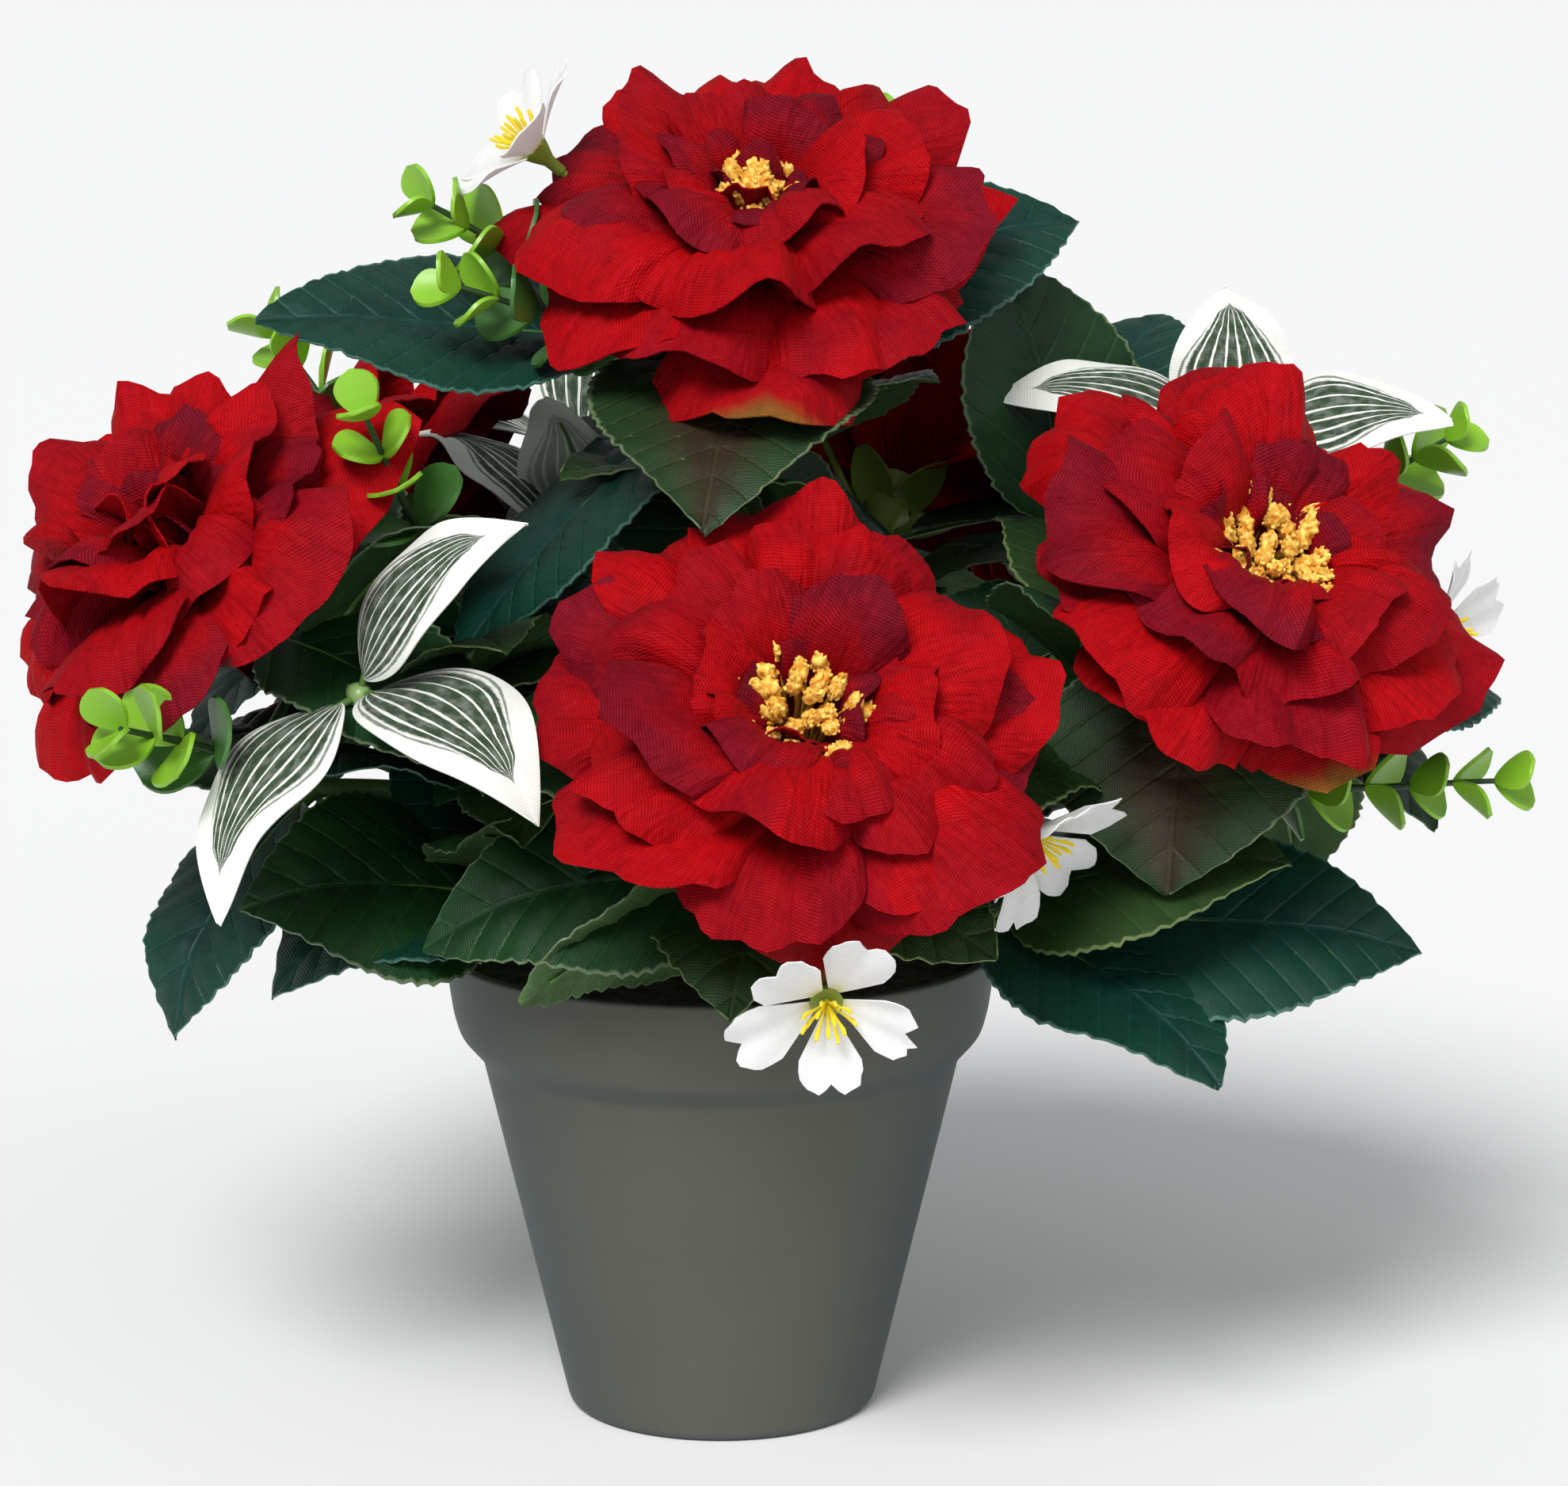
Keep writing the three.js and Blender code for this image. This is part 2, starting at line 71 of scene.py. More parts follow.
def sideways(along, roll=0.0):
    """Two axes square to a direction, tipped about it by roll degrees."""
    side = unit(np.cross(UP, along))
    over = np.cross(along, side)
    tip = math.radians(roll)
    return spoke(side, over, tip), spoke(over, -side, tip)


def far_end(node):
    """The point of a limb that lies furthest from the stem's fork."""
    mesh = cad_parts[node].data
    points = np.array([vertex.co[:] for vertex in mesh.vertices])
    fork = np.array([0.0, 0.0, FORK_HEIGHT])
    return points[np.argmax(np.linalg.norm(points - fork, axis=1))]


def between(value, low, high):
    """Runs smoothly from 0 at low to 1 at high."""
    share = np.clip((value - low) / (high - low), 0.0, 1.0)
    return share * share * (3.0 - 2.0 * share)


def ripple(rng, along, slow, fast):
    """A sine along a stem or a sheet, with a drawn pace and start."""
    return np.sin(along * rng.uniform(slow, fast) + rng.uniform(0, 6))


def labelled(columns, row):
    """A row of values under the names of its columns."""
    return dict(zip(columns.split(), row))


# ---------------- the arrangement

STEM_LEAN = 3 * MM
FORK_HEIGHT = 122.35 * MM
LOW_FORK_HEIGHT = 110.35 * MM

# How thick each sheet is, in millimetres.
LOBE_THICKNESS = 0.7
PETAL_THICKNESS = 0.35
SMALL_PETAL_THICKNESS = 0.3
LEAF_THICKNESS = 0.4
SPOON_THICKNESS = 0.9

# Which way each bloom faces, how far its heart stands off its limb, its size, how open its middle
# is, how long its lowest petal hangs, the turn of its petals and the seed of its own shape.
BLOOM_COLUMNS = "turn rise stand_off size openness hang spin seed"
BLOOMS = {name: labelled(BLOOM_COLUMNS, row) for name, row in {
    "front": (-85, 40, 17, 1.02, 0.88, 0.9, -18, 11),
    "top": (-88, 57, 22, 1.04, 0.68, 0.96, -22, 23),
    "right": (-62, 36, 17, 1.0, 0.85, 0.92, -12, 37),
    "left": (-140, 46, 17, 0.93, 0.0, 1.03, 20, 41),
    "back_left": (158, 38, 17, 0.95, 0.9, 1.0, 0, 53),
    "back_right": (22, 32, 17, 0.95, 0.8, 1.0, 15, 67),
    "back": (85, 36, 17, 0.97, 0.95, 1.0, 40, 79),
}.items()}


def leaf_at(turn, rise, reach, roll, tint=None, **shape):
    """One leaf, with a width or an arch of its own where its kind's doesn't suit it."""
    return dict(turn=turn, rise=rise, reach=reach, roll=roll, tint=tint, **shape)


LEAVES = {
    "front": [
        leaf_at(172, 8, 70, -20, "green"), leaf_at(20, 0, 70, 20, "olive"),
        leaf_at(95, 42, 66, 0, "teal"),
    ],
    "top": [
        leaf_at(-170, 6, 105, -25, "teal", arch=0), leaf_at(-96, -20, 79, 0, "bronze", width=59),
        leaf_at(16, 20, 78, 35, "teal"), leaf_at(-153, -42, 96, 2, "teal", arch=0.04),
    ],
    "right": [
        leaf_at(-104, -60, 56, 0, "bronze", width=62), leaf_at(35, -13, 88, 40, "teal"),
    ],
    "left": [
        leaf_at(145, 0, 62, -45, "teal"), leaf_at(85, 30, 78, 0, "green"),
        leaf_at(-36, -20, 66, 15, "green", width=44),
    ],
    "back_left": [
        leaf_at(-150, -25, 66, 0, "teal"), leaf_at(75, 0, 80, 0, "green"),
        leaf_at(140, -52, 66, 0, "olive"),
    ],
    "back_right": [
        leaf_at(-35, -25, 66, 0, "green"), leaf_at(100, -2, 80, 0, "teal"),
        leaf_at(45, -55, 66, 0, "bronze"),
    ],
    "back": [
        leaf_at(-6, 0, 80, 0, "green"), leaf_at(170, 0, 80, 0, "teal"),
        leaf_at(88, -44, 76, 0, "bronze"),
    ],
    "rim_front": [
        leaf_at(-172, -6, 72, -42, "green", arch=0.14, width=46),
        leaf_at(-152, -15, 60, 52, "green", arch=0.03, width=38),
        leaf_at(-100, -22, 42, 0, "olive", width=42), leaf_at(-34, -8, 54, 15, "olive", width=46),
    ],
    "rim_right": [
        leaf_at(-41, -23, 66, 8, "teal"), leaf_at(-4, -2, 92, 38, "teal", arch=0.03),
        leaf_at(-22, 15, 68, 25, "olive"),
    ],
    "rim_left": [
        leaf_at(-153, 6, 60, -38, "green"), leaf_at(-160, -14, 54, -15, "teal", arch=0.14),
        leaf_at(150, 0, 76, 0, "green"),
    ],
    "left_low": [
        leaf_at(-136, -48, 62, 0, "teal", width=42), leaf_at(118, 5, 56, -20, "green"),
    ],
    "rim_back_left": [
        leaf_at(118, -10, 78, 0, "green"), leaf_at(165, -16, 82, 0, "olive"),
        leaf_at(80, -20, 66, 0, "teal"),
    ],
    "rim_back_right": [
        leaf_at(22, -12, 82, 0, "teal"), leaf_at(62, -14, 76, 0, "bronze"),
        leaf_at(-5, 10, 80, 0, "green"),
    ],
    "right_high": [
        leaf_at(160, 76, 68, -28, "green"), leaf_at(60, 42, 72, 0, "teal"),
    ],
}
RIGHT_HIGH = (12, 75, 186)
LOW_LIMBS = [name for name in LEAVES if name not in BLOOMS and name != "right_high"]

# Small leaves along each limb of a bloom and each low limb, which fill the bush: share of the
# limb, turn away from its own way out, rise.
INNER_LEAVES = [(0.3, 65, 0), (0.42, -70, 8), (0.55, 80, 24), (0.62, 175, 15), (0.7, -85, 30),
                (0.85, 150, 40), (0.62, -146, 12)]
LOW_INNER_LEAVES = [(0.3, 10, 55), (0.45, 60, 22), (0.6, -25, 40), (0.75, -65, 30), (0.65, 40, 22)]
# One more that stands half way up the limb of the top bloom.
SHADE_LEAF = leaf_at(155, 40, 58, -40)

# Each spray of striped leaves: its foot's azimuth, reach and height, its limb and its leaves.
STRIPED = {
    "left": ((-139, 95, 167), "left", [
        leaf_at(-17, 48, 50, 45), leaf_at(-132, -42, 56, 0), leaf_at(-45, -16, 57, 15, width=32)]),
    "right": ((5, 110, 207), "right", [
        leaf_at(97, 72, 38, 0), leaf_at(-171, 16, 53, -35), leaf_at(-3, 9, 48, 35)]),
    "middle": ((152, 34, 184), "top", [
        leaf_at(-120, 66, 40, 0), leaf_at(150, 30, 50, 0)]),
    "back": ((112, 88, 196), "back", [
        leaf_at(80, 50, 54, 0), leaf_at(170, 10, 56, 0), leaf_at(120, -30, 56, 0)]),
}

# Each sprig: its foot, the limb that carries it, its turn, rise, length and number of leaf pairs.
SPRIGS = {
    "left_upper": ((-152, 69, 195), "left", -116, 51, 36, 3),
    "left_front": ((-145, 120, 156), "left", -128, 18, 30, 3),
    "far_left": ((150, 94, 207), "back_left", 165, 50, 30, 3),
    "top_left": ((-172, 36, 249), "top", -157, 27, 30, 3),
    "top_front": ((-130, 26, 235), "top", -158, 17, 42, 4),
    "top_back": ((50, 38, 256), "top", -20, 60, 20, 2),
    "right": ((-2, 114, 138), "rim_right", -8, 2, 54, 5),
    "right_back": ((12, 138, 196), "back_right", -13, 29, 28, 3),
    "back": ((96, 112, 214), "back", 100, 50, 36, 3),
    "back_low": ((108, 108, 140), "rim_back_left", 112, -8, 40, 4),
}
# A sprig's lowest pair is deep green, and its three lowest on these.
DEEP_SPRIGS = ["top_front", "back_low"]

# Each small flower: its foot, the limb that carries it, its turn and rise.
FLOWERS = {
    "upper_left": ((-167, 34, 269), "top", -166, 40),
    "front": ((-77, 98, 116), "rim_front", -90, -24),
    "front_right": ((-46, 85, 143), "rim_right", -40, -38),
    "far_right": ((-1, 146, 170), "right", -28, -4),
    "back": ((80, 100, 226), "back", 80, 45),
}


# ---------------- joined meshes

CELL_MARGIN = 0.03        # the bare edge of each sheet's own cell of the map


def place_on(column, row):
    """Each point's place on a sheet, from 0 to 1 across it and along it."""
    return np.stack(np.broadcast_arrays(column * 0.5 + 0.5, row), -1)


class Gathered:
    """Closed bodies of one kind, joined into one mesh with maps of its cloth."""

    def __init__(self):
        self.points, self.blocks = [], []
        self.count = self.cells = 0

    def add(self, faces, finish, cloth, place, cell):
        """faces is an array of equal polygons; cloth and place give two numbers for each point."""
        self.blocks.append((faces + self.count, finish, cloth[faces], place[faces], cell))

    def add_points(self, points):
        self.points.append(points)
        self.count += len(points)

    def body(self, points, face_sets, finish=0):
        blank = np.zeros((len(points), 2))
        for faces in face_sets:
            self.add(faces, finish, blank, blank, 0)
        self.add_points(points)

    def sheet(self, grid, cloth, place, thickness, front=0, back=None):
        """A closed sheet, thickness millimetres thick, with its own cells for face and back."""
        grid, cloth, place = (each[:, ::-1] for each in (grid, cloth, place))
        rows, columns = grid.shape[:2]
        normal = unit(np.cross(np.gradient(grid, axis=1), np.gradient(grid, axis=0)))
        half = normal * (thickness * MM) / 2
        points = np.concatenate([(grid + half).reshape(-1, 3), (grid - half).reshape(-1, 3)])
        size = rows * columns
        number = np.arange(size).reshape(rows, columns)
        quads = np.stack([number[:-1, :-1], number[:-1, 1:], number[1:, 1:], number[1:, :-1]], -1)
        quads = quads.reshape(-1, 4)
        edge = [number[0, :-1], number[:-1, -1], number[-1, :0:-1], number[:0:-1, 0]]
        edge = np.concatenate(edge)
        following = np.roll(edge, -1)
        rim = np.stack([edge + size, following + size, following, edge], -1)
        cloth, place = (np.tile(each.reshape(-1, 2), (2, 1)) for each in (cloth, place))
        back = front if back is None else back
        self.add(quads, front, cloth, place, self.cells)
        self.add(quads[:, ::-1] + size, back, cloth, place, self.cells + 1)
        self.add(rim, front, cloth, place, self.cells)
        self.add_points(points)
        self.cells += 2

    def finish(self, name, materials, slot, *nodes, sharp=55):
        """Makes the piece, with edges sharp above an angle in degrees."""
        points = np.concatenate(self.points)
        sizes = np.concatenate([np.full(len(faces), faces.shape[1]) for faces, *_ in self.blocks])
        corners = np.concatenate([faces.ravel() for faces, *_ in self.blocks])
        finishes = [np.full(len(faces), finish) for faces, finish, *_ in self.blocks]
        starts = np.concatenate([[0], np.cumsum(sizes)[:-1]])
        mesh = bpy.data.meshes.new(name)
        mesh.vertices.add(len(points))
        mesh.vertices.foreach_set("co", points.astype(np.float32).ravel())
        mesh.loops.add(len(corners))
        mesh.loops.foreach_set("vertex_index", corners.astype(np.int32))
        mesh.polygons.add(len(sizes))
        mesh.polygons.foreach_set("loop_start", starts.astype(np.int32))
        mesh.polygons.foreach_set("material_index", np.concatenate(finishes).astype(np.int32))
        if self.cells:
            self.write_maps(mesh)
        mesh.update(calc_edges=True)
        mesh.validate()
        mesh.set_sharp_from_angle(angle=math.radians(sharp))
        for material in materials:
            mesh.materials.append(material)
        piece = bpy.data.objects.new(name, mesh)
        bpy.context.scene.collection.objects.link(piece)
        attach(piece, "root")
        if nodes:
            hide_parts(*nodes)

    def write_maps(self, mesh):
        """The cloth in metres, the place on each sheet, and a cell of its own for each side."""
        across = math.ceil(math.sqrt(self.cells))
        _, _, cloths, places, cells = zip(*self.blocks)
        spread = []
        for place, cell in zip(places, cells):
            corner = np.array([cell % across, cell // across])
            spread.append((corner + CELL_MARGIN + place * (1 - 2 * CELL_MARGIN)) / across)
        for name, parts in (("Cloth", cloths), ("Place", places), ("OFBake", spread)):
            flat = np.concatenate([part.reshape(-1) for part in parts])
            mesh.uv_layers.new(name=name).data.foreach_set("uv", flat.astype(np.float32))


def circle(sides, side, over):
    """Even directions all the way round, in the plane of two axes."""
    angles = np.arange(sides) * 2 * math.pi / sides
    return np.outer(np.cos(angles), side) + np.outer(np.sin(angles), over)


def ring_walls(rings, sides):
    """The numbers of the points ring by ring, and the quads between following rings."""
    number = np.arange(rings * sides).reshape(rings, sides)
    turned = np.roll(number, -1, axis=1)
    return number, np.stack([number[:-1], turned[:-1], turned[1:], number[1:]], -1).reshape(-1, 4)


def closed_rings(rings):
    """A closed body through rings of points: its points and its faces."""
    number, walls = ring_walls(len(rings), len(rings[0]))
    return np.concatenate(rings), [walls, number[:1, ::-1], number[-1:]]


def tube(path, radii, sides):
    """A closed round tube along a path: its points and its faces."""
    run = unit(np.gradient(path, axis=0))
    side = unit(np.cross(run[0], [0.31, 0.17, 0.93]))
    rings = []
    for centre, forward, radius in zip(path, run, radii):
        side = unit(side - forward * np.dot(side, forward))
        rings.append(centre + radius * circle(sides, side, np.cross(forward, side)))
    return closed_rings(rings)


def lathe(profile, sides, centre=np.zeros(3), axis=UP):
    """A closed body turned from radii and levels in millimetres that start and end on its axis."""
    upright = abs(axis[2]) > 0.999
    around = circle(sides, *(np.eye(3)[:2] if upright else sideways(axis)))
    profile = np.array(profile, dtype=float) * MM
    radii, levels = profile[1:-1, 0, None, None], profile[1:-1, 1, None, None]
    rings = centre + radii * around + levels * axis
    points = np.concatenate([rings.reshape(-1, 3), centre + np.outer(profile[[0, -1], 1], axis)])
    number, walls = ring_walls(len(rings), sides)
    first, last = len(points) - 2, len(points) - 1
    start = np.stack([np.full(sides, first), np.roll(number[0], -1), number[0]], -1)
    end = np.stack([np.full(sides, last), number[-1], np.roll(number[-1], -1)], -1)
    return points, [walls, start, end]


def bezier(root, leave, arrive, tip, steps):
    share = np.linspace(0, 1, steps)[:, None]
    rest = 1 - share
    return (rest**3 * root + 3 * rest**2 * share * leave
            + 3 * rest * share**2 * arrive + share**3 * tip)


# ---------------- node trees

WHITE = (1, 1, 1, 1)
BLACK = (0, 0, 0, 1)


class Signal:
    """A value in a node tree: arithmetic on signals adds the nodes that work it out."""

    def __init__(self, tree, socket):
        self.tree = tree
        self.socket = socket

    def calc(self, operation, *others):
        node = self.tree.nodes.new("ShaderNodeMath")
        node.operation = operation
        for entry, value in zip(node.inputs, (self, *others)):
            plug(self.tree, entry, value)
        return Signal(self.tree, node.outputs[0])

    __add__ = partialmethod(calc, "ADD")
    __sub__ = partialmethod(calc, "SUBTRACT")
    __mul__ = partialmethod(calc, "MULTIPLY")
    __truediv__ = partialmethod(calc, "DIVIDE")

    def off(self, middle):
        """How far the value lies from middle, either way."""
        return (self - middle).calc("ABSOLUTE")

    def ramp(self, low, high):
        """0 below low, 1 above high and smooth between them; it falls where low is the larger."""
        node = self.tree.nodes.new("ShaderNodeMapRange")
        node.interpolation_type = "SMOOTHSTEP"
        plug(self.tree, node.inputs["Value"], self)
        node.inputs["From Min"].default_value = min(low, high)
        node.inputs["From Max"].default_value = max(low, high)
        node.inputs["To Min"].default_value = float(low > high)
        node.inputs["To Max"].default_value = float(low < high)
        return Signal(self.tree, node.outputs["Result"])


def plug(tree, entry, value):
    if isinstance(value, Signal):
        tree.links.new(value.socket, entry)
    else:
        entry.default_value = value


def srgb(*channels):
    shares = [channel / 255 for channel in channels]
    linear = [share / 12.92 if share < 0.04045 else ((share + 0.055) / 1.055) ** 2.4
              for share in shares]
    return (*linear, 1.0)


def mixed(tree, factor, first, second):
    node = tree.nodes.new("ShaderNodeMix")
    node.data_type = "RGBA"
    plug(tree, node.inputs[0], factor)
    plug(tree, node.inputs[6], first)
    plug(tree, node.inputs[7], second)
    return Signal(tree, node.outputs[2])


def noise(tree, vector, scale, detail, stretch=None):
    if stretch is not None:
        mapping = tree.nodes.new("ShaderNodeMapping")
        plug(tree, mapping.inputs["Vector"], vector)
        mapping.inputs["Scale"].default_value = stretch
        vector = Signal(tree, mapping.outputs[0])
    node = tree.nodes.new("ShaderNodeTexNoise")
    plug(tree, node.inputs["Vector"], vector)
    plug(tree, node.inputs["Scale"], scale)
    node.inputs["Detail"].default_value = detail
    return Signal(tree, node.outputs["Fac"])


def cloth_map(tree, name):
    """A map of the sheet: its vector and its two numbers."""
    node = tree.nodes.new("ShaderNodeUVMap")
    node.uv_map = name
    split = tree.nodes.new("ShaderNodeSeparateXYZ")
    tree.links.new(node.outputs[0], split.inputs[0])
    return [Signal(tree, socket) for socket in (node.outputs[0], *split.outputs[:2])]


def object_space(tree):
    return Signal(tree, tree.nodes.new("ShaderNodeTexCoord").outputs["Object"])


def new_group(name, **inputs):
    """A node group with the inputs given, which puts out a colour and a height."""
    group = bpy.data.node_groups.new(name, "ShaderNodeTree")

    def socket(label, way, kind):
        return group.interface.new_socket(name=label, in_out=way, socket_type=f"NodeSocket{kind}")

    for label, value in inputs.items():
        kind = "Color" if isinstance(value, tuple) else "Float"
        socket(label, "INPUT", kind).default_value = value
    socket("Colour", "OUTPUT", "Color")
    socket("Height", "OUTPUT", "Float")
    entry = group.nodes.new("NodeGroupInput")
    given = {label: Signal(group, entry.outputs[label]) for label in inputs}
    return group, given, group.nodes.new("NodeGroupOutput")


def placed(tree, group, **values):
    node = tree.nodes.new("ShaderNodeGroup")
    node.node_tree = group
    for label, value in values.items():
        plug(tree, node.inputs[label], value)
    return {socket.name: Signal(tree, socket) for socket in node.outputs}


def woven_group():
    """Plain weave of fine thread: a painted highlight on the threads, painted shade in the gaps
    between them, slubs both ways and a dull mottle.
    """
    group, given, leave = new_group(
        "woven cloth", Colour=WHITE, Thread=WHITE, Pitch=0.6, Depth=0.3, Mottle=0.2)
    vector, across, along = cloth_map(group, "Cloth")
    wander = (noise(group, vector, 900, 2) - 0.5) * 1.4
    turns = given["Pitch"] * (MM / (2 * math.pi))
    warp = (across / turns + wander).calc("SINE")
    weft = (along / turns + wander).calc("SINE")
    slubs = (noise(group, vector, 800, 2, stretch=(1, 0.3, 1))
             + noise(group, vector, 800, 2, stretch=(0.3, 1, 1)))
    height = (warp * weft) * 0.28 + weft * 0.2 + (slubs - 1.0) * 0.45 + 0.5
    # Painted shade: the cloth darkens towards black in the gaps between the threads; the mottle
    # adds random darker patches.
    gap_shade = height.ramp(0.62, 0.1) * given["Depth"]
    shade_and_mottle = gap_shade + noise(group, vector, 130, 4).ramp(0.35, 0.75) * given["Mottle"]
    colour = mixed(group, shade_and_mottle, given["Colour"], mixed(group, 0.8, given["Colour"], BLACK))
    # Painted highlight: the tops of the threads turn towards the thread highlight colour.
    lit = height.ramp(0.55, 1.0) * given["Depth"] * 0.6
    plug(group, leave.inputs["Colour"], mixed(group, lit, colour, given["Thread"]))
    plug(group, leave.inputs["Height"], height)
    return group


def grain_group():
    """Fine grain of moulded plastic: a patchy tint and a small relief."""
    group, given, leave = new_group("moulded grain", Colour=WHITE, Scale=900.0, Patch=0.15)
    place = object_space(group)
    patch = noise(group, place, 38, 3).ramp(0.35, 0.7) * given["Patch"]
    darker = mixed(group, 0.6, given["Colour"], BLACK)
    plug(group, leave.inputs["Colour"], mixed(group, patch, given["Colour"], darker))
    plug(group, leave.inputs["Height"], noise(group, place, given["Scale"], 4))
    return group


def new_material(name, roughness, **sockets):
    """A material with plain values on its shader's sockets, and its node tree."""
    material = bpy.data.materials.new(name)
    material.use_nodes = True
    surface = material.node_tree.nodes["Principled BSDF"]
    surface.inputs["Roughness"].default_value = roughness
    for label, value in sockets.items():
        surface.inputs[label.replace("_", " ")].default_value = value
    return material, material.node_tree


def cover(material, colour, height, depth):
    """Gives a material its colour and a relief that is depth millimetres deep."""
    tree = material.node_tree
    surface = tree.nodes["Principled BSDF"]
    tree.links.new(colour.socket, surface.inputs["Base Color"])
    node = tree.nodes.new("ShaderNodeBump")
    node.inputs["Distance"].default_value = depth * MM
    plug(tree, node.inputs["Height"], height)
    tree.links.new(node.outputs[0], surface.inputs["Normal"])
    return material


WOVEN = woven_group()
GRAIN = grain_group()
# Millimetres from thread to thread.
PETAL_THREAD = 0.62
LEAF_THREAD = 0.5
FLUSH = srgb(112, 6, 24)


def petal_material(name, body, root, rim, rim_amount, stain=None):
    """Dyed petal cloth with painted shade that deepens it towards the root, brushed darker along
    the rim and streaked.
    """
    material, tree = new_material(
        name, 0.62, Sheen_Weight=0.015, Sheen_Roughness=0.35, Sheen_Tint=srgb(255, 170, 175),
        Specular_IOR_Level=0.05)
    root = srgb(*root)
    vector, across, along = cloth_map(tree, "Place")
    patches = noise(tree, vector, 3.1, 3)
    streaks = noise(tree, vector, 7, 4, stretch=(5.0, 0.8, 1.0))
    colour = mixed(tree, streaks.ramp(0.42, 0.7) * 0.35, srgb(*body), root)
    # Painted shade: the root colour darkens the lower part of each petal, where other petals cover
    # it.
    colour = mixed(tree, (along + patches * 0.3).ramp(0.6, 0.2) * 0.85, colour, root)
    rim_mask = (along + (patches - 0.5) * 0.9).ramp(0.55, 1.0) * rim_amount
    colour = mixed(tree, rim_mask, colour, srgb(*rim))
    flush = noise(tree, object_space(tree), 34, 2).ramp(0.52, 0.68)
    colour = mixed(tree, flush * 0.55, colour, FLUSH)
    if stain is not None:
        spread = (along - across.off(0.5) * 0.9 + (patches - 0.5) * 0.3).ramp(0.84, 1.0)
        colour = mixed(tree, spread * 0.75, colour, srgb(*stain))
    # The thread colour here is the painted highlight on the tops of the threads.
    cloth = placed(tree, WOVEN, Colour=colour, Thread=srgb(208, 50, 56), Pitch=PETAL_THREAD,
                   Depth=0.45, Mottle=0.2)
    crinkles = noise(tree, vector, 11, 3, stretch=(4.0, 0.45, 1.0))
    return cover(material, cloth["Colour"], cloth["Height"] + crinkles * 7, 0.14)


VEIN_PITCH = 8.4        # millimetres along the midrib between side veins
VEIN_SLOPE = 0.85


def leaf_material(name, body, flush, flush_amount, vein, edge, roughness):
    """Coated leaf cloth: a flush over the middle, pressed side veins and a pale cut edge."""
    material, tree = new_material(name, roughness, Specular_IOR_Level=0.26)
    vein = srgb(*vein)
    vector, across, _ = cloth_map(tree, "Place")
    _, aside, up_blade = cloth_map(tree, "Cloth")
    aside = aside.calc("ABSOLUTE")
    away = (across * 2 - 1).calc("ABSOLUTE")
    patches = noise(tree, vector, 2.6, 3)
    flushed = (away + patches).ramp(1.25, 0.55) * flush_amount
    colour = mixed(tree, flushed, srgb(*body), srgb(*flush))
    vein_phase = (up_blade - aside * VEIN_SLOPE) / (VEIN_PITCH * MM)
    on_vein = vein_phase.calc("FRACT").off(0.5).ramp(0.4, 0.49)
    midrib = aside.ramp(0.9 * MM, 0.3 * MM)
    veins = on_vein.calc("MAXIMUM", midrib)
    colour = mixed(tree, veins * 0.32, colour, vein)
    fray = (away + (noise(tree, vector, 60, 2) - 0.5) * 0.05).ramp(0.955, 0.985)
    colour = mixed(tree, fray * 0.7, colour, srgb(*edge))
    # The vein colour also serves as the painted highlight on the tops of the threads.
    cloth = placed(tree, WOVEN, Colour=colour, Thread=vein, Pitch=LEAF_THREAD, Depth=0.4,
                   Mottle=0.25)
    return cover(material, cloth["Colour"], cloth["Height"] - veins * 2, 0.1)


def striped_material(name, white, green, strength):
    """White cloth with a printed green middle that white lines run through from end to end."""
    material, tree = new_material(
        name, 0.7, Sheen_Weight=0.1, Sheen_Roughness=0.5, Specular_IOR_Level=0.3)
    vector, across, along = cloth_map(tree, "Place")
    ragged = (noise(tree, vector, 26, 3) - 0.5) * 0.1
    wavy = (noise(tree, vector, 9, 2, stretch=(3, 1, 1)) - 0.5) * 0.05
    half = (along.ramp(0.9, 0.35) * 0.46 + 0.32) * along.ramp(0.87, 0.78)
    share = ((across * 2 - 1) + wavy) / half.calc("MAXIMUM", 0.001)
    away = share.calc("ABSOLUTE")
    inside = (away + ragged).ramp(1.03, 0.95)
    ink = (share * 3.1 + 0.5).calc("FRACT").off(0.5).ramp(0.44, 0.38)
    outer_line = (away.off(1.1) + ragged * 0.5).ramp(0.05, 0.02) * along.ramp(0.8, 0.6) * 0.8
    mask = (inside * ink).calc("MAXIMUM", outer_line)
    patchy = noise(tree, vector, 14, 4).ramp(0.3, 0.6) * 0.15 + 0.85
    colour = mixed(tree, mask * patchy * strength, white, green)
    cloth = placed(tree, WOVEN, Colour=colour, Pitch=LEAF_THREAD, Depth=0.16, Mottle=0.05)
    return cover(material, cloth["Colour"], cloth["Height"], 0.08)


def white_material():
    """White cloth, yellow at the root of each petal."""
    material, tree = new_material(
        "white blossom cloth", 0.68, Subsurface_Weight=0.4, Subsurface_Scale=0.003,
        Subsurface_Radius=(1.0, 1.0, 1.0), Specular_IOR_Level=0.3)
    _, _, along = cloth_map(tree, "Place")
    colour = mixed(tree, along.ramp(0.32, 0.05), srgb(240, 241, 240), srgb(214, 206, 92))
    cloth = placed(tree, WOVEN, Colour=colour, Pitch=0.45, Depth=0.12, Mottle=0.05)
    return cover(material, cloth["Colour"], cloth["Height"], 0.06)


def plastic_material(name, colour, roughness, patch=0.2, **sockets):
    """Smooth moulded plastic with a fine grain and a patchy tint."""
    material, tree = new_material(name, roughness, **sockets)
    grain = placed(tree, GRAIN, Colour=srgb(*colour), Scale=900.0, Patch=patch)
    return cover(material, grain["Colour"], grain["Height"], 0.05)


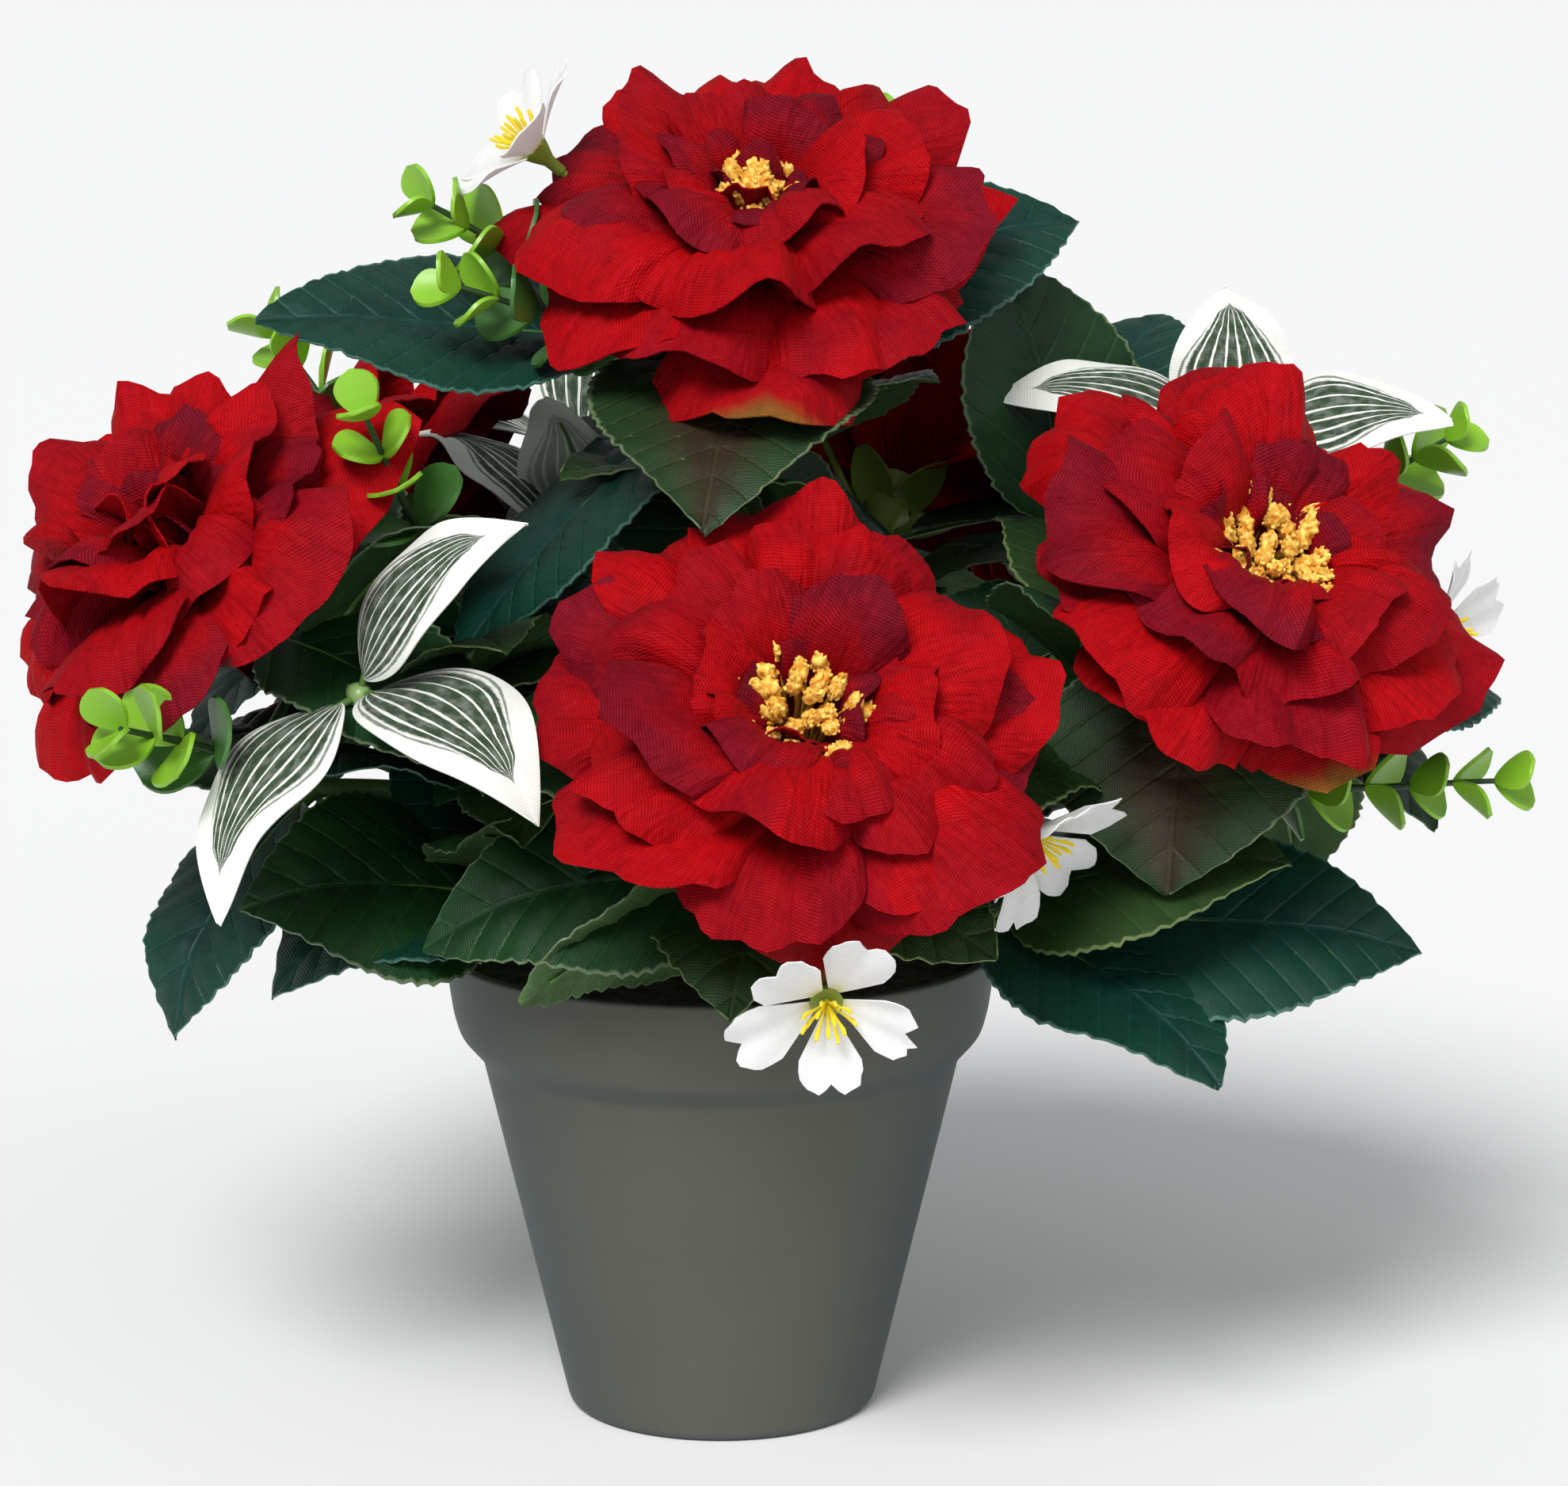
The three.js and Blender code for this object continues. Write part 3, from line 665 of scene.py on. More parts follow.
def pot_material():
    """Matt moulded plastic with faint rings left by the mould, and a painted shade, tinted cool,
    that darkens its edges as the camera sees them.
    """
    material, tree = new_material("pot plastic", 0.52, Specular_IOR_Level=0.3)
    rings = noise(tree, object_space(tree), 60, 2, stretch=(0.05, 0.05, 6.0))
    colour = mixed(tree, rings.ramp(0.35, 0.75) * 0.06, srgb(80, 81, 72), srgb(68, 69, 61))
    # Painted shade and a cool painted reflection: the colour turns blue-grey where the pot's
    # surface faces away from the camera.
    edge_painted_shade = Signal(tree, tree.nodes.new("ShaderNodeLayerWeight").outputs["Facing"])
    colour = mixed(tree, edge_painted_shade.ramp(0.15, 0.8) * 0.8, colour, srgb(48, 62, 64))
    grain = placed(tree, GRAIN, Colour=colour, Scale=1400.0, Patch=0.1)
    return cover(material, grain["Colour"], grain["Height"] + rings * 0.3, 0.04)


def speckled_material(name, roughness, scale, detail, dark, pale, depth):
    """A rough, crumbly stuff of two shades."""
    material, tree = new_material(name, roughness)
    spots = noise(tree, object_space(tree), scale, detail)
    return cover(material, mixed(tree, spots.ramp(0.35, 0.65), dark, pale), spots, depth)


# Each petal cloth: body, root (the colour of its painted shade and of its streaks) and rim, how
# much the rim takes, and a stain at the tip of one.
PETALS = [petal_material(f"petal {name}", *dyes) for name, *dyes in [
    ("bright red", (176, 4, 11), (128, 2, 8), (142, 8, 24), 0.2),
    ("red", (166, 4, 12), (118, 2, 9), (124, 10, 28), 0.45),
    ("wine", (160, 5, 14), (110, 2, 9), (108, 12, 30), 0.85),
    ("crimson", (146, 5, 16), (98, 2, 10), (96, 12, 30), 0.85),
    ("stained", (170, 5, 12), (128, 2, 9), (134, 12, 26), 0.3, (120, 100, 40)),
]]
STAINED = 4        # the finish of a bloom's lowest petal

# Each leaf cloth: body, flush and how much of it, vein, cut edge and roughness.
LEAF_DYES = {
    "green": ((22, 60, 28), (14, 42, 22), 0.5, (44, 84, 44), (120, 140, 104), 0.33),
    "teal": ((14, 60, 45), (9, 46, 44), 0.5, (30, 80, 70), (90, 130, 120), 0.33),
    "olive": ((38, 64, 26), (26, 48, 20), 0.5, (60, 88, 40), (130, 150, 96), 0.42),
    "bronze": ((30, 58, 26), (54, 34, 22), 0.85, (56, 58, 34), (120, 140, 100), 0.46),
    "underside": ((72, 104, 58), (60, 92, 50), 0.4, (96, 124, 76), (120, 140, 104), 0.6),
}
LEAF_CLOTH = [leaf_material(f"leaf {name}", *dyes) for name, dyes in LEAF_DYES.items()]
LEAF_TINTS = list(LEAF_DYES)
UNDERSIDE = LEAF_TINTS.index("underside")

STRIPED_CLOTH = [
    striped_material("striped leaf", srgb(232, 234, 226), srgb(32, 58, 30), 1.0),
    striped_material("striped leaf underside", srgb(222, 226, 214), srgb(96, 118, 92), 0.6),
]
WHITE_CLOTH = white_material()
POLLEN = speckled_material(
    "pollen flock", 0.8, 700, 3, srgb(208, 138, 20), srgb(252, 212, 104), 0.25)
FILLER = speckled_material("filler foam", 0.95, 260, 4, srgb(52, 44, 36), srgb(92, 80, 64), 0.8)
POT_PLASTIC = pot_material()
FILAMENT = plastic_material("filament", (196, 148, 44), 0.6)
STEM_PLASTIC = plastic_material("stem plastic", (64, 92, 38), 0.45, 0.35)
DARK_STEM = plastic_material("dark stem plastic", (38, 62, 34), 0.45, 0.35)
LEAF_RIB = plastic_material("leaf rib plastic", (84, 120, 56), 0.4)
CALYX = plastic_material("calyx plastic", (120, 140, 48), 0.45, 0.3)
SPRIG_LEAF = plastic_material(
    "sprig leaf plastic", (132, 184, 44), 0.38, 0.3, Subsurface_Weight=0.15,
    Subsurface_Scale=0.002, Subsurface_Radius=(0.6, 1.0, 0.3))
SPRIG_DEEP = plastic_material("sprig leaf deep plastic", (60, 108, 44), 0.38, 0.3)
NODE_PLASTIC = plastic_material("stalk joint plastic", (128, 158, 96), 0.35, 0.15)
YELLOW_TIP = plastic_material("yellow stamen plastic", (240, 214, 36), 0.5)


# ---------------- pot and filler

LONGEST_WALL = 6        # millimetres between two rings of the pot's wall


def rounded(corners):
    """A profile through corners of radius, level and rounding, each inner one drawn as a curve."""
    points = [corners[0][:2]]
    share = np.linspace(0, 1, 5)[:, None]
    for trio in zip(corners, corners[1:], corners[2:]):
        rounding = trio[1][2]
        before, corner, after = (np.array(point[:2], dtype=float) for point in trio)
        start = corner + unit(before - corner) * rounding
        end = corner + unit(after - corner) * rounding
        curve = (1 - share)**2 * start + 2 * (1 - share) * share * corner + share**2 * end
        points += [tuple(point) for point in curve]
    return points + [corners[-1][:2]]


def make_pot():
    """Tapered body, stepped rim band with a soft lip, a hollow foot and a plain inside."""
    outline = rounded([
        (0, 0, 0), (33.3, 0, 2.4), (51.8, 78, 1.2), (53.9, 80.4, 0.9), (56.6, 83.4, 1.6),
        (58.0, 88, 2.5), (60, 102, 1.1), (57.6, 102, 1.1), (56.0, 92, 2), (49.4, 80, 2),
        (31, 3, 3), (0, 3, 0),
    ])
    profile = []
    for first, second in zip(outline, outline[1:]):
        to_axis = first[0] == 0 or second[0] == 0
        steps = 1 if to_axis else max(1, round(math.dist(first, second) / LONGEST_WALL))
        span = np.subtract(second, first)
        profile += [tuple(np.add(first, span * step / steps)) for step in range(steps)]
    mesh = Gathered()
    mesh.body(*lathe(profile + [outline[-1]], 144))
    mesh.finish("pot_shell", [POT_PLASTIC], "pot_plastic", "pot", sharp=40)


def make_filler():
    """A rough cast plug whose top is uneven between the stems."""
    top_level = 97.4
    relief = 0.16 * MM
    waves = np.random.default_rng(3).uniform(-1, 1, (14, 3))
    profile = [(0, 3.35), (28, 3.35), (30.8, 4.6), (49.0, 80.2), (55.5, 92.2), (56.2, 96.6)]
    profile += [(radius, top_level) for radius in (54, *range(50, -1, -5))]
    points, faces = lathe(profile, 96)
    top = points[:, 2] > (top_level - 1) * MM
    phase = points[top, :2] @ (waves[:, :2].T * 420) + waves[:, 2] * 6
    points[top, 2] += np.sin(phase).sum(axis=1) * relief
    mesh = Gathered()
    mesh.body(points, faces)
    mesh.finish("filler_plug", [FILLER], "filler", "pot_fill")


# ---------------- stem and limbs

def knobbly(path, start, end, seed):
    """Radii that taper from start to end with the small swellings of a moulded stem."""
    rng = np.random.default_rng(seed)
    share = np.linspace(0, 1, len(path))
    swell = sum(ripple(rng, share, 6, 30) for _ in range(4)) / 4
    return (start + (end - start) * share) * (1 + 0.1 * swell)


def make_main_stem():
    """The ribbed stem, wide at its foot and pinched at the fork."""
    foot, height, sides = 98.35, 30, 40
    levels = [0, 0.04, 0.12, 0.3, 0.5, 0.7, 0.9, 1.0]
    radii = np.array([15, 13.4, 11, 8, 7.2, 6.6, 6, 3.6]) * MM
    share = np.linspace(0, 1, 30)
    angles = np.arange(sides) * 2 * math.pi / sides
    around = circle(sides, *np.eye(3)[:2])
    rings = []
    for at, radius in zip(share, np.interp(share, levels, radii)):
        ribs = 1 + 0.09 * np.cos(5 * angles + at) + 0.03 * np.cos(13 * angles + 5 * at)
        centre = np.array([0, -STEM_LEAN * at, (foot + height * at) * MM])
        rings.append(centre + around * (radius * ribs)[:, None])
    mesh = Gathered()
    mesh.body(*closed_rings(rings))
    mesh.finish("stem_bundle", [DARK_STEM], "stem_plastic", "main_stem")


def limb_route(tip, arriving, start_height):
    """A limb's middle line, out and up from the stem to its tip."""
    outward = unit(np.array([tip[0], tip[1], 0.0]))
    root = outward * 3 * MM + np.array([0, -STEM_LEAN, start_height])
    span = np.linalg.norm(tip - root)
    leave = root + outward * span * 0.15 + UP * span * 0.25
    return bezier(root, leave, tip - arriving * span * 0.3, tip, 28)


LIMBS = {}
for name, bloom in BLOOMS.items():
    facing = heading(bloom["turn"], bloom["rise"])
    LIMBS[name] = limb_route(far_end(f"bough_{name}") - facing * 0.2 * MM, facing, FORK_HEIGHT)
for name in LOW_LIMBS:
    tip = far_end(f"bough_{name}")
    LIMBS[name] = limb_route(tip, unit(np.array([tip[0], tip[1], 0.0])), LOW_FORK_HEIGHT)


def make_limbs():
    for seed, (name, route) in enumerate(LIMBS.items()):
        mesh = Gathered()
        mesh.body(*tube(route, knobbly(route, 3.4 * MM, 2 * MM, seed), 12))
        if name in BLOOMS:
            add_calyx(mesh, name)
        mesh.finish(f"limb_{name}", [STEM_PLASTIC, CALYX], "stem_plastic", f"bough_{name}")


def add_calyx(mesh, name):
    """The moulded cup behind a bloom, its neck and the five pointed lobes that hold the cloth."""
    bloom = BLOOMS[name]
    axis = heading(bloom["turn"], bloom["rise"])
    foot = LIMBS[name][-1]
    heart = bloom["stand_off"]
    profile = [(0, -1), (2.2, -0.6), (2.4, heart - 13), (3.4, heart - 10), (7.6, heart - 5.5),
               (9.4, heart - 2.5), (8.6, heart - 2), (0, heart - 3)]
    mesh.body(*lathe(profile, 24, foot, axis), finish=1)
    side, over = sideways(axis)
    widest = 4.6
    along = np.linspace(0, 1, 7)[:, None]
    width = np.linspace(-1, 1, 5)[None, :]
    half = widest * np.sin(np.pi * np.clip(along * 0.72 + 0.28, 0, 1)) ** 0.8 + 0.12
    reach = 5 + 13 * along + 0 * width
    level = heart - 7 + 5.4 * along - 1.2 * (width * half / widest) ** 2
    flat = np.zeros((*reach.shape, 2))
    for lobe in range(5):
        out = spoke(side, over, 2 * math.pi * lobe / 5)
        grid = (foot + out * reach[..., None] * MM + axis * level[..., None] * MM
                + np.cross(axis, out) * (width * half)[..., None] * MM)
        mesh.sheet(grid, flat, flat, LOBE_THICKNESS, front=1)


# ---------------- blooms

# Each whorl from the outside in: its petals' number, length, half spread in degrees, root radius
# and level, rise at root, middle and tip, how far the sides cup in and roll out, ruffle, spread of
# the nod, and the finishes it draws from.
WHORL_COLUMNS = "count length spread root level rise cup roll ruffle nod tints"
WHORLS = [labelled(WHORL_COLUMNS, row) for row in [
    (7, 55, 45, 3.0, -3.0, (36, 10, -34), 14, -40, 2.1, 9, (0, 1, 0, 1, 0, 2, 1)),
    (7, 51, 44, 3.5, -1.0, (48, 22, -26), 16, -44, 2.2, 8, (1, 0, 2, 0, 1, 0, 2)),
    (6, 45, 46, 4.0, 1.5, (64, 40, -20), 18, -46, 2.1, 7, (0, 1, 2, 0, 1, 0)),
    (6, 36, 48, 5.5, 3.0, (78, 58, -6), 22, -44, 1.9, 7, (1, 0, 2, 1, 0, 3)),
    (5, 27, 52, 8.5, 4.0, (86, 72, 12), 26, -36, 1.6, 6, (2, 0, 3, 1, 2)),
    (4, 21, 50, 7.5, 5.0, (94, 88, 50), 32, -24, 1.3, 6, (3, 1, 3, 2)),
]]
WHORL_TURN = 31        # degrees from one whorl's petals to the next one's
CLOSING = 16        # degrees that each inner whorl of a shut bloom closes further
PETAL_ROWS = 15
PETAL_COLUMNS = 29


def petal_grid(rng, whorl, length, nod, lean):
    """One petal over its flat cut shape, as radius, offset to the side and level from the heart."""
    row = np.linspace(0.05, 1, PETAL_ROWS)[:, None] ** 0.9
    column = np.linspace(-1, 1, PETAL_COLUMNS)[None, :]
    angle = column * math.radians(whorl["spread"])
    tip = rng.choice([-0.07, 0.0, 0.05, 0.09]) * np.exp(-(column / 0.22) ** 2)
    lobes = 0.03 * ripple(rng, column, 6, 9)
    scallops = 0.018 * ripple(rng, column, 16, 22)
    frayed = rng.normal(0, 0.008, column.shape)
    outline = length * (0.98 - 0.56 * np.abs(column) ** 2.4 + tip + lobes + scallops + frayed)
    forward = row * outline * np.cos(angle)
    aside = row * outline * np.sin(angle)

    step = np.diff(row, axis=0, prepend=0)
    middle = row - step / 2
    root_rise, middle_rise, tip_rise = whorl["rise"]
    tip_rise = tip_rise + rng.uniform(-26, 24) + 24 * ripple(rng, column, 2.5, 5.5)
    slope = nod + root_rise + (middle_rise - root_rise) * between(middle, 0.0, 0.55)
    slope = np.radians(slope + (tip_rise - middle_rise) * between(middle, 0.5, 1.02))
    radius = np.cumsum(np.cos(slope) * step * outline * np.cos(angle), axis=0)
    level = np.cumsum(np.sin(slope) * step * outline * np.cos(angle), axis=0)

    roll = whorl["roll"] + np.where(column < 0, rng.uniform(-25, 35), rng.uniform(-25, 35))
    cup = whorl["cup"] * rng.uniform(0.6, 1.3)
    bank = cup * (1 - between(middle, 0.4, 0.8)) + roll * between(middle, 0.55, 1.05)
    bank = np.radians(bank)
    out_step = step * outline * np.abs(np.sin(angle))
    lift = np.cumsum(np.sin(bank) * out_step, axis=0)
    sideways_run = np.sign(column) * np.cumsum(np.cos(bank) * out_step, axis=0)

    waves = ripple(rng, column, 4, 7)
    waves = waves + 0.4 * ripple(rng, column, 11, 16)
    ruffle = whorl["ruffle"] * row ** 2.6 * waves
    crease_depth = rng.uniform(-1.4, 1.4)
    crease = crease_depth * np.exp(-((column - rng.uniform(-0.35, 0.35)) / 0.08) ** 2) * row
    pleats = 0.4 * np.sin(column * rng.uniform(26, 38)
                          + 1.5 * np.sin(row * 4 + rng.uniform(0, 6)))
    pleats = pleats * np.sin(np.pi * np.clip(row, 0, 0.9) ** 0.8)
    dents = sum(np.sin(aside * rng.uniform(-0.4, 0.4) + forward * rng.uniform(-0.4, 0.4)
                       + rng.uniform(0, 6)) for _ in range(4)) * 0.25 * row
    skew = sideways_run * math.sin(math.radians(lean))
    offset = lift + ruffle + crease + pleats + dents + skew

    radius = whorl["root"] + radius - offset * np.sin(slope)
    level = whorl["level"] + level + offset * np.cos(slope)
    bias = math.radians(rng.uniform(-40, 40))
    cloth = MM * np.stack([aside * math.cos(bias) + forward * math.sin(bias),
                           forward * math.cos(bias) - aside * math.sin(bias)], -1)
    return radius, sideways_run, level, cloth, place_on(column, row)


def set_about(heart, axis, out, radius, aside, level):
    """Points of a petal, in millimetres out, aside and up from the heart it grows from."""
    across = np.cross(axis, out)
    return heart + MM * (radius[..., None] * out + aside[..., None] * across
                         + level[..., None] * axis)


def make_bloom(name, bloom):
    rng = np.random.default_rng(bloom["seed"])
    axis = heading(bloom["turn"], bloom["rise"])
    heart = LIMBS[name][-1] + axis * bloom["stand_off"] * MM
    side, over = sideways(axis)
    mesh = Gathered()
    spin = bloom["spin"]
    # A bloom that is wide open has no inmost whorl.
    whorls = WHORLS if bloom["openness"] < 0.9 else WHORLS[:-1]
    for number, whorl in enumerate(whorls):
        spin += WHORL_TURN
        closing = max(0, number - 2) * CLOSING * (0.75 - bloom["openness"])
        azimuths = np.radians(spin + 360 * np.arange(whorl["count"]) / whorl["count"]
                              + rng.uniform(-8, 8, whorl["count"]))
        outs = np.outer(np.cos(azimuths), side) + np.outer(np.sin(azimuths), over)
        lowest = int(np.argmin(outs[:, 2])) if number == 0 else -1
        for petal, out in enumerate(outs):
            length = whorl["length"] * bloom["size"] * rng.uniform(0.9, 1.05)
            if petal == lowest:
                length *= bloom["hang"]
            nod = rng.uniform(-1, 1) * whorl["nod"] + closing
            lean = rng.uniform(7, 14)
            radius, aside, level, cloth, place = petal_grid(rng, whorl, length, nod, lean)
            grid = set_about(heart, axis, out, radius, aside, level)
            stained = petal == lowest and bloom["hang"] <= 1
            tint = STAINED if stained else whorl["tints"][petal]
            mesh.sheet(grid, cloth, place, PETAL_THICKNESS, front=tint)
    mesh.finish(f"petals_{name}", PETALS, "petal_fabric", f"bloom_{name}", sharp=70)
    make_stamens(name, heart, axis, rng, bloom["openness"])


def ball(splits):
    """A ball of even small triangles: its points and its faces."""
    golden = (1 + math.sqrt(5)) / 2
    corners = []
    for first in (-1, 1):
        for second in (-golden, golden):
            corners += [(0, first, second), (first, second, 0), (second, 0, first)]
    points = unit(np.array(corners, dtype=float))
    apart = np.linalg.norm(points[:, None] - points[None], axis=2)
    near = (apart > 0.1) & (apart < 1.2)
    faces = []
    for a, b, c in itertools.combinations(range(len(points)), 3):
        if near[a, b] and near[b, c] and near[a, c]:
            normal = np.cross(points[b] - points[a], points[c] - points[a])
            faces.append((a, b, c) if np.dot(normal, points[a]) > 0 else (a, c, b))
    faces = np.array(faces)
    for _ in range(splits):
        edges = np.concatenate([faces[:, [0, 1]], faces[:, [1, 2]], faces[:, [2, 0]]])
        halves, place = np.unique(np.sort(edges, axis=1), axis=0, return_inverse=True)
        first, second, third = (place.reshape(3, -1) + len(points))
        points = np.concatenate([points, unit(points[halves].sum(axis=1))])
        a, b, c = faces.T
        quarters = [(a, first, third), (first, b, second), (third, second, c),
                    (first, second, third)]
        faces = np.concatenate([np.stack(quarter, -1) for quarter in quarters])
    return points, faces


STAMENS = 46
CRUMBS = 7
CLUMP_POINTS, CLUMP_FACES = ball(2)
CRUMB_POINTS, CRUMB_FACES = ball(0)


def make_stamens(name, heart, axis, rng, openness):
    """Filaments that fan out of the heart, each with a long crumbly head of pollen."""
    mesh = Gathered()
    side, over = sideways(axis)
    widest = 5 + 13 * openness
    tallest = 22 - 7 * (1 - openness) ** 3
    for number in range(STAMENS):
        share = math.sqrt((number + 0.5) / STAMENS)
        out = spoke(side, over, number * GOLDEN_TURN + rng.uniform(-0.3, 0.3))
        reach = widest * share * rng.uniform(0.85, 1.1)
        height = tallest - 3.5 * share + rng.uniform(-2, 2)
        foot = heart + MM * (out * (1.2 + 4.5 * share) + axis * 3)
        tip = heart + MM * (out * reach + axis * height)
        bow = (foot + tip) / 2 + axis * 2.5 * MM - out * 1.2 * MM
        route = bezier(foot, bow, bow, tip, 6)
        mesh.body(*tube(route, np.linspace(0.5, 0.38, 6) * MM, 6), finish=1)
        head = unit(tip - bow + rng.normal(size=3) * 0.35 * np.linalg.norm(tip - bow))
        aside = unit(np.cross(head, rng.normal(size=3)))
        axes = [aside * 1.7, np.cross(head, aside) * 1.55, head * rng.uniform(2.3, 3.2)]
        axes = np.stack(axes)
        lumps = rng.uniform(0.72, 1.28, (len(CLUMP_POINTS), 1))
        mesh.body(tip + (CLUMP_POINTS * lumps) @ axes * MM, [CLUMP_FACES])
        for _ in range(CRUMBS):
            centre = tip + (unit(rng.normal(size=3)) * 1.1) @ axes * MM
            size = rng.uniform(0.32, 0.66) * MM
            jitter = rng.uniform(0.75, 1.25, (len(CRUMB_POINTS), 1))
            mesh.body(centre + CRUMB_POINTS * jitter * size, [CRUMB_FACES])
    mesh.finish(f"stamens_{name}", [POLLEN, FILAMENT], "stamen_flock", sharp=75)


# ---------------- leaves

BLADE = dict(length=76, width=54, arch=0.09, rows=64, columns=15)
INNER_BLADE = dict(length=52, width=42, arch=0.1, rows=36, columns=9)
STRIPED_BLADE = dict(length=56, width=27, arch=0.16, rows=40, columns=15)
# The saw edge of a leaf, in millimetres.
TOOTH_PITCH = 3.3
TOOTH_DEPTH = 1.1


def blade_outline(along):
    """Half the width of an egg-shaped leaf along its blade, as a part of its widest half."""
    return np.sin(np.pi * along ** 0.78) ** 0.85


def leaf_line(foot, leaf, kind, along):
    """The midrib at each reach along the leaf, and the leaf's two other axes."""
    run = heading(leaf["turn"], leaf["rise"])
    side, over = sideways(run, leaf["roll"])
    share = along / leaf["reach"]
    arch = leaf.get("arch", kind["arch"])
    rise = 4 * arch * leaf["reach"] * share * (1 - share)
    return foot + MM * (along[..., None] * run + rise[..., None] * over), side, over


def add_leaf(mesh, stalks, foot, leaf, kind, rng, finish, back):
    """A leaf's blade, quilted between its veins, and the stalk and midrib that carry it."""
    length = min(kind["length"], 0.92 * leaf["reach"])
    stalk = leaf["reach"] - length
    half = leaf.get("width", kind["width"]) / 2
    toothed = kind is not STRIPED_BLADE
    rows, columns = kind["rows"], kind["columns"]
    along = np.linspace(0.004, 0.998, rows)[:, None]
    column = np.linspace(-1, 1, columns)[None, :]
    width = half * blade_outline(along)
    if toothed:
        tooth = (along * length / TOOTH_PITCH + 0.1 * rng.uniform()) % 1
        saw = np.where(tooth < 0.75, tooth / 0.75, (1 - tooth) / 0.25)
        width = width + (saw - 0.5) * TOOTH_DEPTH * np.clip(np.sin(np.pi * along) * 3, 0, 1)
        width = width + rng.normal(0, 0.08, along.shape)
    width = np.maximum(width, 0.35)
    aside = column * width
    reach = stalk + along * length
    centre, side, over = leaf_line(foot, leaf, kind, np.broadcast_to(reach, aside.shape))

    flat = np.abs(aside)
    if toothed:
        phase = (along * length - flat * VEIN_SLOPE) / VEIN_PITCH
        quilt = 1.25 * np.abs(np.sin(np.pi * phase)) ** 0.7
        quilt = quilt * np.clip(flat / 3, 0, 1) * (1 - 0.5 * np.abs(column))
    else:
        quilt = 0.18 * np.cos(column * 22) * blade_outline(along)
    fold = flat * rng.uniform(0.06, 0.16)
    droop = -(flat / half) ** 2 * rng.uniform(1.5, 4.5)
    wave = rng.uniform(0.6, 1.5) * np.abs(column) ** 1.6
    wave = wave * np.sin(along * rng.uniform(9, 14) + np.sign(column) * 1.2 + rng.uniform(0, 6))
    tip_curl = -between(along, 0.7, 1.1) * rng.uniform(0, 6)
    twist = aside * (along - 0.3) * rng.uniform(-0.16, 0.16)
    height = quilt + fold + droop + wave + tip_curl + twist
    sway = rng.uniform(-3, 3) * (along - 0.2) ** 2
    grid = centre + MM * ((aside + sway)[..., None] * side + height[..., None] * over)
    cloth = np.stack(np.broadcast_arrays(aside, along * length), -1) * MM
    mesh.sheet(grid, cloth, place_on(column, along), LEAF_THICKNESS, front=finish, back=back)

    midrib = grid[:, columns // 2] - over * 0.45 * MM
    stalk_line, _, _ = leaf_line(foot, leaf, kind, np.linspace(-1.2, stalk, 6)[:-1])
    stalk_line = stalk_line - over * 0.3 * MM
    run = np.concatenate([stalk_line, midrib[2:int(rows * 0.86):4]])
    thick = 1.35 if toothed else 1.0
    stalks.body(*tube(run, np.linspace(thick, 0.3, len(run)) * MM, 8))


def make_leaves():
    for seed, (name, leaves) in enumerate(LEAVES.items()):
        rng = np.random.default_rng(200 + seed)
        foot = LIMBS[name][-1] if name in LIMBS else spot(*RIGHT_HIGH)
        mesh, stalks = Gathered(), Gathered()
        for leaf in leaves:
            tint = LEAF_TINTS.index(leaf["tint"])
            add_leaf(mesh, stalks, foot, leaf, BLADE, rng, tint, UNDERSIDE)
        if name in LIMBS:
            add_inner_leaves(mesh, stalks, name, rng)
        else:
            add_twig(stalks, "right", foot, heading(160, 60), 1.2)
        mesh.finish(f"leaf_cloth_{name}", LEAF_CLOTH, "leaf_fabric", f"leaves_{name}")
        stalks.finish(f"leaf_ribs_{name}", [LEAF_RIB], "stem_plastic")


def add_inner_leaves(mesh, stalks, name, rng):
    route = LIMBS[name]
    outward = math.degrees(math.atan2(*(route[-1] - route[0])[[1, 0]]))
    for share, turn, rise in INNER_LEAVES if name in BLOOMS else LOW_INNER_LEAVES:
        leaf = leaf_at(outward + turn + rng.uniform(-15, 15), rise + rng.uniform(-8, 8),
                       rng.uniform(50, 58), rng.uniform(-25, 25))
        foot = route[int(share * len(route))]
        tint = rng.integers(0, 3)
        add_leaf(mesh, stalks, foot, leaf, INNER_BLADE, rng, tint, UNDERSIDE)
    if name == "top":
        foot = route[len(route) // 2]
        add_leaf(mesh, stalks, foot, SHADE_LEAF, INNER_BLADE, rng, 0, UNDERSIDE)


def add_twig(mesh, limb, foot, arriving, radius, finish=0):
    """A thin stem that leaves a limb where it passes closest and arrives at foot."""
    route = LIMBS[limb]
    nearest = int(np.argmin(np.linalg.norm(route - foot, axis=1)))
    start = route[max(4, min(nearest, len(route) - 2) - 5)]
    span = np.linalg.norm(foot - start)
    outgoing = unit(np.gradient(route, axis=0)[max(4, nearest - 5)])
    line = bezier(start, start + outgoing * span * 0.35, foot - arriving * span * 0.35, foot, 16)
    mesh.body(*tube(line, np.linspace(radius * 1.25, radius, 16) * MM, 8), finish=finish)


def make_striped():
    joint = [(0, -4), (1.5, -3.6), (2.3, -1.5), (2.6, 0.5), (2.1, 2.2), (0, 3)]
    for seed, (name, (place, limb, leaves)) in enumerate(STRIPED.items()):
        rng = np.random.default_rng(300 + seed)
        foot = spot(*place)
        mesh, stalks = Gathered(), Gathered()
        for leaf in leaves:
            add_leaf(mesh, stalks, foot, leaf, STRIPED_BLADE, rng, 0, 1)
        arriving = [heading(leaf["turn"], leaf["rise"]) for leaf in leaves]
        arriving = unit(np.mean(arriving, axis=0))
        add_twig(stalks, limb, foot, arriving, 1.0)
        stalks.body(*lathe(joint, 16, foot, arriving), finish=1)
        mesh.finish(f"striped_cloth_{name}", STRIPED_CLOTH, "striped_fabric", f"striped_{name}")
        stalks.finish(f"striped_stalks_{name}", [LEAF_RIB, NODE_PLASTIC], "stem_plastic")


# ---------------- sprigs

